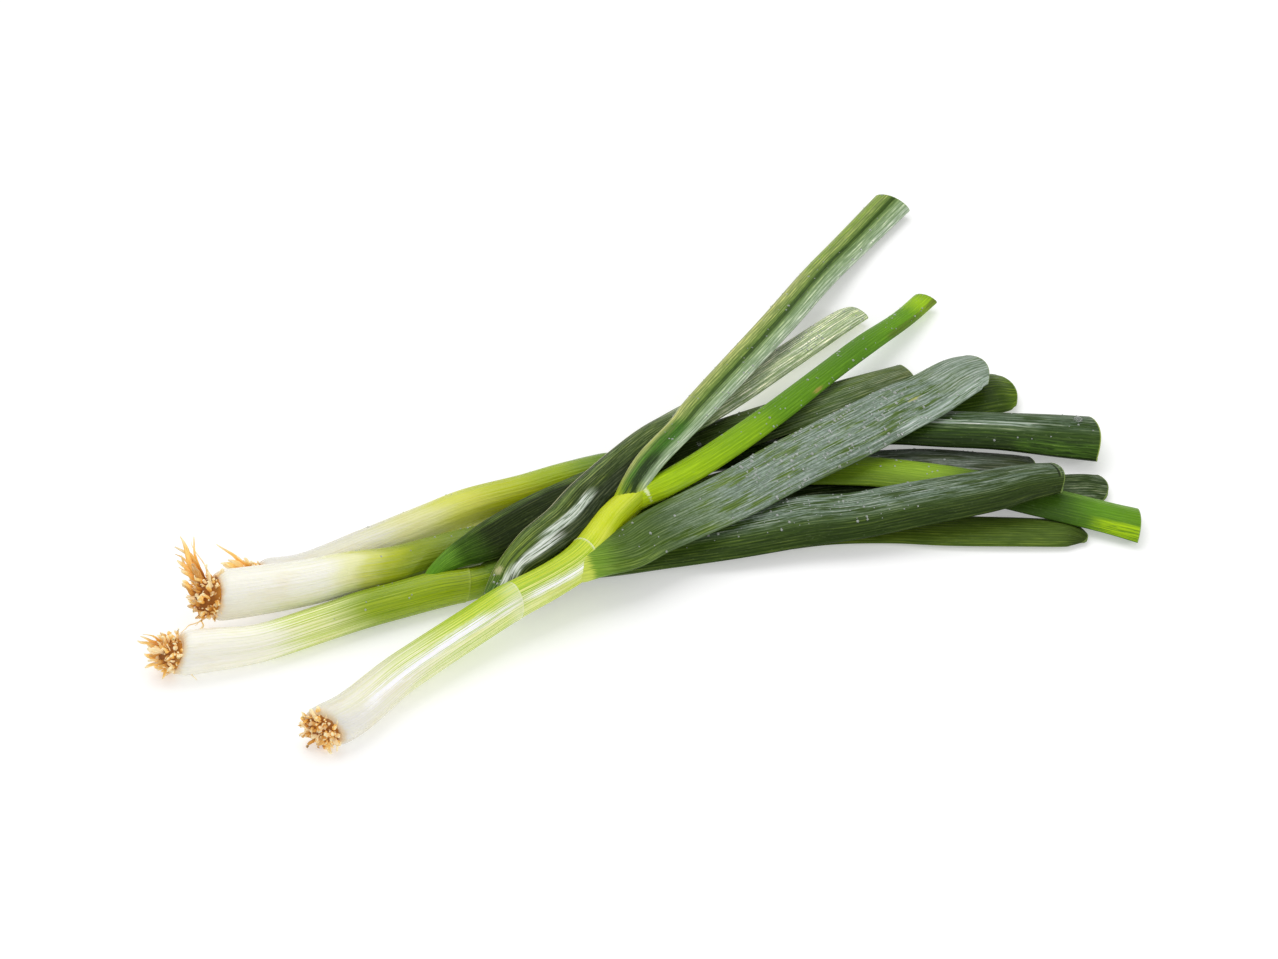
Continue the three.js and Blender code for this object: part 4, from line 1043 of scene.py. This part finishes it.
LEAF_LOOKS = {
    "a1": {
        "slot": "leaf_lime",
        "along": [
            (0.0, (0.44, 0.6, 0.006)), (0.12, (0.34, 0.54, 0.008)), (0.3, (0.24, 0.44, 0.01)),
            (0.42, (0.13, 0.3, 0.012)), (0.7, (0.1, 0.25, 0.012)), (0.9, (0.14, 0.33, 0.012)),
            (0.965, (0.34, 0.58, 0.012)), (1.0, (0.26, 0.44, 0.014)),
        ],
        "streak": 0.24, "slant": -0.6, "opening": 5.0, "nick": 0.2,
        # The dark band on the near edge by the tip is painted shade.
        "bands": [(-0.9, 0.25, 0.8, 1.1, (0.1, 0.13, 0.02), 0.75)],
        "marks": [
            (-0.8, 0.52, 0.14, 0.02, (0.42, 0.3, 0.08), 0.7),
            (0.1, 0.037, 1.2, 0.006, (0.84, 0.9, 0.55), 0.75),
        ],
    },
    "a2": {
        "channel": 0.5,
        "along": [
            (0.0, (0.52, 0.64, 0.01)), (0.05, (0.46, 0.58, 0.012)), (0.085, (0.26, 0.42, 0.02)),
            (0.12, (0.13, 0.25, 0.02)), (0.3, MID), (1.0, (0.07, 0.125, 0.016)),
        ],
        # Across: the dark middle is partly painted shade in the channel, and the pale bluish near side is
        # partly painted light on the wall of the channel that faces the light, with bloom.
        "across": [
            (0.0, (0.46, 0.56, 0.42)), (0.2, (0.36, 0.48, 0.28)), (0.36, (0.21, 0.32, 0.11)),
            (0.43, (0.05, 0.1, 0.012)), (0.5, (0.055, 0.11, 0.014)), (0.56, (0.2, 0.3, 0.065)),
            (0.74, (0.33, 0.41, 0.12)), (0.86, (0.44, 0.49, 0.14)), (1.0, (0.46, 0.5, 0.18)),
        ],
        "across_from": (0.02, 0.07),
        # The first band darkens the channel near the foot, partly as painted shade in the groove; the second is
        # painted shadow in the fork at the very foot.
        "bands": [
            (0.0, 0.5, 0.02, 0.2, (0.05, 0.17, 0.012), 0.9),
            (-0.28, 0.38, 0.0, 0.12, (0.016, 0.036, 0.005), 0.95),
            (0.7, 0.25, 0.72, 1.1, (0.22, 0.38, 0.03), 0.7),
        ],
        "streak": 0.58, "opening": 5.0, "slant": 0.6,
    },
    "a3": {
        "slot": "leaf_bloom", "pinch": 0.25, "slant": 2.0,
        "along": [
            (0.0, (0.7, 0.79, 0.16)), (0.034, (0.62, 0.73, 0.1)), (0.046, (0.2, 0.36, 0.03)),
            (0.12, (0.085, 0.15, 0.015)), (0.2, (0.07, 0.125, 0.012)), (0.32, (0.14, 0.22, 0.03)),
            (1.0, (0.105, 0.175, 0.032)),
        ],
        "wander": 0.04,
        "bloom": (1.0, (0.3, 0.375, 0.325), [(0.0, 0.0), (0.17, 0.1), (0.27, 0.5), (0.36, 0.95), (1.0, 1.0)]),
        "streak": 0.55, "bloom_cover": (0.41, 0.52), "calm_foot": 0.09, "glow": (1.4, 1.33, 1.38), "bow": 4.6,
        "opening": 6.0,
        "bands": [
            (-0.85, 0.16, 0.06, 0.16, (0.22, 0.33, 0.05), 0.4),
            (0.0, 1.0, 0.85, 1.1, (0.34, 0.41, 0.34), 0.6), (-0.88, 0.2, 0.72, 1.1, (0.46, 0.55, 0.5), 0.8),
        ],
        "marks": [(-0.1, 0.79, 0.05, 0.02, (0.5, 0.5, 0.12), 0.7)],
    },
    "a4": {
        # The dark stretch round 0.28 is painted shade; the pale outer part from 0.58 on is painted sheen, where
        # the twisting leaf turns its face to the light, with the bloom over it.
        "along": [
            (0.0, (0.3, 0.44, 0.07)), (0.03, (0.09, 0.2, 0.025)), (0.085, (0.15, 0.23, 0.012)),
            (0.2, (0.075, 0.12, 0.009)), (0.28, (0.05, 0.08, 0.006)), (0.52, (0.1, 0.155, 0.03)),
            (0.58, (0.52, 0.6, 0.34)), (0.66, (0.84, 0.92, 0.62)), (1.0, (0.88, 0.95, 0.62)),
        ],
        "bloom": (0.75, (0.58, 0.67, 0.5), [(0.0, 0.2), (0.06, 0.06), (0.48, 0.06), (0.62, 1.0), (1.0, 1.0)]),
        "streak": 0.9, "shade": (-0.05, -0.4, 0.75), "shade_until": (0.54, 0.46), "opening": 7.0,
        "edge": (0.76, 0.72, 0.42), "edge_share": 0.85, "edge_from": 0.89, "gloss": 0.24, "slant": -1.0,
        # The three pale bands are a painted highlight, the wet sheen near the foot, and the band at 0.62 across
        # lightens the far, upper side as painted light.
        "bands": [
            (-0.2, 0.2, 0.045, 0.08, (0.72, 0.77, 0.7), 0.95),
            (-0.48, 0.25, 0.07, 0.17, (0.68, 0.73, 0.67), 1.0),
            (-0.18, 0.22, 0.155, 0.275, (0.56, 0.63, 0.55), 1.0),
            (0.1, 0.04, 0.08, 0.17, (0.02, 0.04, 0.005), 0.8),
            (0.62, 0.16, 0.03, 0.4, (0.16, 0.24, 0.06), 0.6),
        ],
        "marks": [(0.5, 0.074, 0.34, 0.009, (0.66, 0.62, 0.34), 0.6)], "creases": [(14.0, 4.0, 0.5)],
    },
    "b1": {
        "along": [
            (0.0, (0.2, 0.33, 0.03)), (0.1, (0.17, 0.28, 0.035)), (0.16, (0.11, 0.19, 0.025)),
            (0.6, (0.055, 0.1, 0.013)), (1.0, (0.05, 0.085, 0.013)),
        ],
        "bloom": (0.85, (0.3, 0.38, 0.33), [(0.0, 0.0), (0.25, 0.5), (0.4, 1.0), (0.75, 0.9), (1.0, 0.55)]),
        "bloom_and_sheen_side": (-0.5, 0.2), "shade": (-0.2, -0.8, 0.45), "streak": 0.72, "opening": 6.0, "bow": 3.2,
        # The first end line is painted shadow inside the open mouth of the cut tip.
        "end_lines": [
            (2.1, 0.4, -0.3, 1.1, (0.012, 0.02, 0.003), 0.9), (1.3, 0.2, -0.3, 1.1, (0.2, 0.28, 0.07), 0.5),
            (0.15, 0.2, -1.1, 1.1, (0.26, 0.36, 0.09), 0.6),
        ],
    },
    "b2": {
        "along": [
            (0.0, (0.16, 0.42, 0.022)), (0.05, (0.16, 0.35, 0.035)), (0.09, (0.055, 0.12, 0.01)),
            (0.14, (0.022, 0.036, 0.005)), (0.3, (0.024, 0.038, 0.005)), (0.6, (0.05, 0.08, 0.014)),
            (0.82, (0.15, 0.22, 0.06)), (1.0, (0.18, 0.225, 0.085)),
        ],
        "bloom": (0.6, (0.22, 0.28, 0.2), [(0.0, 0.0), (0.6, 0.1), (0.85, 0.8), (1.0, 0.9)]),
        "bands": [(0.75, 0.2, 0.1, 0.6, (0.11, 0.18, 0.03), 0.6)], "streak": 0.8, "specular": 0.05,
        "opening": 9.0, "edge": (0.5, 0.46, 0.2), "edge_share": 0.8,
    },
    "b3": {
        "along": [
            (0.0, DEEP), (0.45, (0.09, 0.14, 0.014)), (0.9, (0.095, 0.155, 0.02)),
            (1.0, (0.04, 0.065, 0.008)),
        ],
        "streak": 0.5, "bow": 1.6, "slant": -0.4, "pinch": 0.6, "opening": 8.0, "edge_share": 0.5,
        "edge": (0.14, 0.2, 0.03),
    },
    "c1": {
        "slot": "leaf_lime",
        # The dark stretch from 0.78 to 0.88 is painted shadow beside the leaf that lies over it.
        "along": [
            (0.0, (0.16, 0.26, 0.01)), (0.45, (0.11, 0.19, 0.01)), (0.56, (0.18, 0.3, 0.015)),
            (0.68, (0.26, 0.42, 0.03)), (0.78, (0.045, 0.09, 0.01)), (0.88, (0.06, 0.14, 0.012)),
            (0.95, (0.125, 0.3, 0.014)), (1.0, (0.13, 0.3, 0.01)),
        ],
        # The first band is a painted highlight along the upper side.
        "bands": [
            (0.75, 0.2, 0.82, 1.1, (0.2, 0.36, 0.06), 0.6), (-0.72, 0.3, 0.94, 1.1, (0.38, 0.6, 0.005), 0.85),
        ],
        "shade": (0.0, -0.7, 0.3), "streak": 0.25, "opening": 8.0, "slant": -1.6, "bow": 0.8,
    },
    "c2": {
        "along": [(0.0, DEEP), (0.6, (0.085, 0.105, 0.065)), (1.0, (0.05, 0.066, 0.024))],
        "bloom": (0.95, (0.19, 0.225, 0.195), [(0.0, 0.3), (0.5, 1.0), (0.86, 0.9), (0.95, 0.4), (1.0, 0.4)]),
        "streak": 0.6, "opening": 8.0, "bow": 3.0, "pinch": 0.5,
    },
    "c3": {
        "along": [(0.0, DEEP), (0.7, DEEP), (1.0, (0.055, 0.09, 0.02))],
        "bloom": (0.6, (0.2, 0.25, 0.17), [(0.0, 0.0), (0.8, 0.5), (1.0, 1.0)]), "streak": 1.0, "ribs": 0.14,
        "opening": 8.0, "bow": 3.0, "pinch": 0.6,
    },
    "d1": {
        "along": [
            (0.0, (0.2, 0.34, 0.03)), (0.2, (0.08, 0.14, 0.02)), (0.8, (0.04, 0.08, 0.008)),
            (0.95, (0.05, 0.09, 0.008)), (1.0, (0.1, 0.17, 0.01)),
        ],
        "streak": 0.6, "opening": 6.0, "bow": 3.0, "pinch": 0.7,
    },
    "d2": {
        "along": [
            (0.0, (0.2, 0.34, 0.03)), (0.15, (0.08, 0.14, 0.02)), (0.6, (0.035, 0.075, 0.008)),
            (1.0, (0.045, 0.09, 0.012)),
        ],
        "bloom": (0.6, (0.22, 0.29, 0.24), [(0.0, 0.0), (0.55, 0.6), (1.0, 0.7)]), "bloom_and_sheen_side": (-0.35, 0.2),
        "shade": (-0.35, -0.95, 0.6),
        # The first two bands are a painted highlight line along the top of the leaf.
        "bands": [
            (-0.1, 0.22, 0.5, 0.88, (0.16, 0.22, 0.12), 0.6), (0.0, 0.1, 0.5, 0.88, (0.42, 0.5, 0.44), 0.85),
            (-0.8, 0.2, 0.84, 1.1, (0.08, 0.18, 0.015), 0.45),
        ],
        "streak": 0.68, "opening": 6.0, "bow": 2.6, "slant": -1.5,
        "end_lines": [(0.15, 0.25, -1.1, 1.1, (0.36, 0.46, 0.08), 0.75)],
    },
}

ROOT_LOOKS = {
    "a": {
        "plate": (0.8, 3.0, 0.9, 0.3), "reach": 74, "count": 12, "stubs": 110, "length": (2.0, 4.2),
        "splay": 60, "lean": (-0.7, 0.5, 0.4),
        "long": [(-118.1, -125.7, 9), (-117, -127.7, 8), (-115.5, -127, 10.5), (-114.6, -133, 5)],
    },
    "b": {
        "plate": (0.7, 6.6, 0.6, 0.5), "reach": 92, "count": 24, "stubs": 100, "length": (2.5, 7),
        "splay": 70, "lean": (-0.8, 0.2, 0.3),
        "long": [
            (-178, -91.1, 13), (-177, -91.5, 14), (-179.2, -91.6, 11), (-172.3, -92.2, 15),
            (-167.3, -91.7, 15), (-175.8, -99.8, 6), (-176.7, -96.2, 9),
        ],
        "hairs": [(-170.6, -100.3, 0.8), (-158, -101, 1)],
    },
    "c": {
        "plate": (0.76, 7.2, 0.6, 0.3), "reach": 94, "count": 34, "stubs": 110, "length": (3, 9.5),
        "splay": 72, "lean": (-0.45, 0.8, 1.0),
        "long": [
            (-168.7, -57.8, 27), (-166.5, -54.5, 28), (-162.4, -52.3, 27), (-167.6, -61.5, 23),
            (-166, -60, 24), (-168, -59.5, 25), (-164.7, -68.9, 18), (-166, -65, 21), (-162.7, -71.5, 13),
            (-164, -57, 25), (-166.8, -63.5, 22), (-165.2, -62, 22.5), (-163.8, -60, 23),
        ],
        "hairs": [(-168.5, -77.7, 1), (-160.4, -79.9, 8), (-163, -54, 26)],
    },
    "d": {
        "plate": (0.74, 5.2, 0.6, 0.0), "reach": 90, "count": 22, "stubs": 60, "length": (3, 8), "splay": 72,
        "lean": (-0.9, 0.3, 0.3),
        "long": [
            (-156.4, -41.3, 14), (-153.5, -48.5, 9), (-153.7, -48.5, 11), (-151.2, -49.6, 13),
            (-152, -49, 12), (-153, -50, 10), (-148.4, -48, 13.5),
        ],
    },
}

for index, letter in enumerate("abcd"):
    build_shaft(letter, SHAFT_DEFAULTS | SHAFT_LOOKS[letter], 11 + 10 * index)
    for number in range(1, len(LEAVES[letter]) + 1):
        build_leaf(letter, number, LEAF_DEFAULTS | LEAF_LOOKS[f"{letter}{number}"], 3 + 17 * index + number)
root_fibre = root_material()
for index, letter in enumerate("abcd"):
    build_roots(letter, ROOT_LOOKS[letter], 60 + index, root_fibre)

build_drops(
    "water_drops",
    [
        ("a3", 210, (0.42, 0.8), (0.04, 0.46), (0.32, 0.8)),
        ("a3", 50, (0.15, 1.0), (0.04, 0.46), (0.22, 0.6)),
        ("a4", 26, (0.03, 0.1), (0.1, 0.42), (0.25, 0.6)),
        ("a4", 70, (0.8, 1.0), (0.04, 0.46), (0.22, 0.6)),
        ("a1", 60, (0.3, 1.0), (0.02, 0.46), (0.22, 0.6)),
        ("a2", 90, (0.15, 1.0), (0.02, 0.48), (0.22, 0.6)),
        ("b1", 110, (0.3, 0.75), (0.04, 0.34), (0.22, 0.6)),
        ("b2", 40, (0.4, 1.0), (0.02, 0.4), (0.22, 0.55)),
        ("d2", 14, (0.5, 1.0), (0.04, 0.4), (0.25, 0.7)),
        ("c2", 40, (0.5, 0.9), (0.04, 0.46), (0.25, 0.6)),
        ("c1", 16, (0.45, 0.7), (0.04, 0.3), (0.25, 0.6)),
        ("c1_shaft", 24, (0.5, 0.98), (0.02, 0.3), (0.25, 0.6)),
        ("d1_shaft", 14, (0.3, 0.8), (0.0, 0.2), (0.25, 0.5)),
        ("b1_shaft", 10, (0.5, 0.9), (0.05, 0.4), (0.25, 0.5)),
    ],
    water_material("water", 0.66),
)
build_drops(
    "water_drops_large",
    [
        ("d2", 1, (0.954, 0.956), (0.173, 0.177), (1.9, 1.9)),
        ("b2", 1, (0.567, 0.569), (0.282, 0.285), (1.2, 1.2)),
    ],
    water_material("water_large", 0.85),
)


# ---------- table, lights and camera ----------


def add_floor():
    mesh = bpy.data.meshes.new("floor")
    corners = [(x * FLOOR_HALF, y * FLOOR_HALF, 0) for x, y in ((-1, -1), (1, -1), (1, 1), (-1, 1))]
    mesh.from_pydata(corners, [], [(0, 1, 2, 3)])
    s = Shader("floor_white")
    where = s.node("ShaderNodeTexCoord").outputs["Object"]
    tone = s.mix(s.noise(where, 3.0, 2.0), (0.73, 0.73, 0.73), (0.75, 0.75, 0.75))
    glow = {"Emission_Color": tone, "Emission_Strength": FLOOR_GLOW}
    mesh.materials.append(s.finish(Base_Color=tone, Roughness=0.9, Specular_IOR_Level=0.0, **glow))
    floor = bpy.data.objects.new("floor", mesh)
    bpy.context.scene.collection.objects.link(floor)


def aim(thing, place, target):
    thing.location = place
    thing.rotation_mode = "QUATERNION"
    thing.rotation_quaternion = (Vector(target) - Vector(place)).to_track_quat("-Z", "Y")
    bpy.context.scene.collection.objects.link(thing)


def add_softbox(name, place, size, power):
    light = bpy.data.lights.new(name, "AREA")
    light.shape = "RECTANGLE"
    light.size, light.size_y = size
    light.energy = power
    aim(bpy.data.objects.new(name, light), place, (0, 0, 0))


add_floor()
add_softbox("softbox_back", (-0.3, 0.4, 1.25), (1.5, 1.2), 10.6)
add_softbox("softbox_front", (-0.1, -1.0, 1.0), (1.2, 0.8), 1.6)
add_softbox("softbox_right", (0.95, -0.4, 0.45), (0.24, 0.2), 2.4)

world = bpy.data.worlds.new("studio")
bpy.context.scene.world = world
world.use_nodes = True
world.node_tree.nodes["Background"].inputs["Color"].default_value = (1, 1, 1, 1)
world.node_tree.nodes["Background"].inputs["Strength"].default_value = 0.5

camera_data = bpy.data.cameras.new("camera")
camera_data.lens = LENS_MM
camera_data.sensor_width = SENSOR_MM
camera_data.clip_end = 20
camera = bpy.data.objects.new("camera", camera_data)
aim(camera, CAMERA_PLACE, CAMERA_TARGET)
bpy.context.scene.camera = camera
bpy.context.scene.view_settings.view_transform = "Standard"
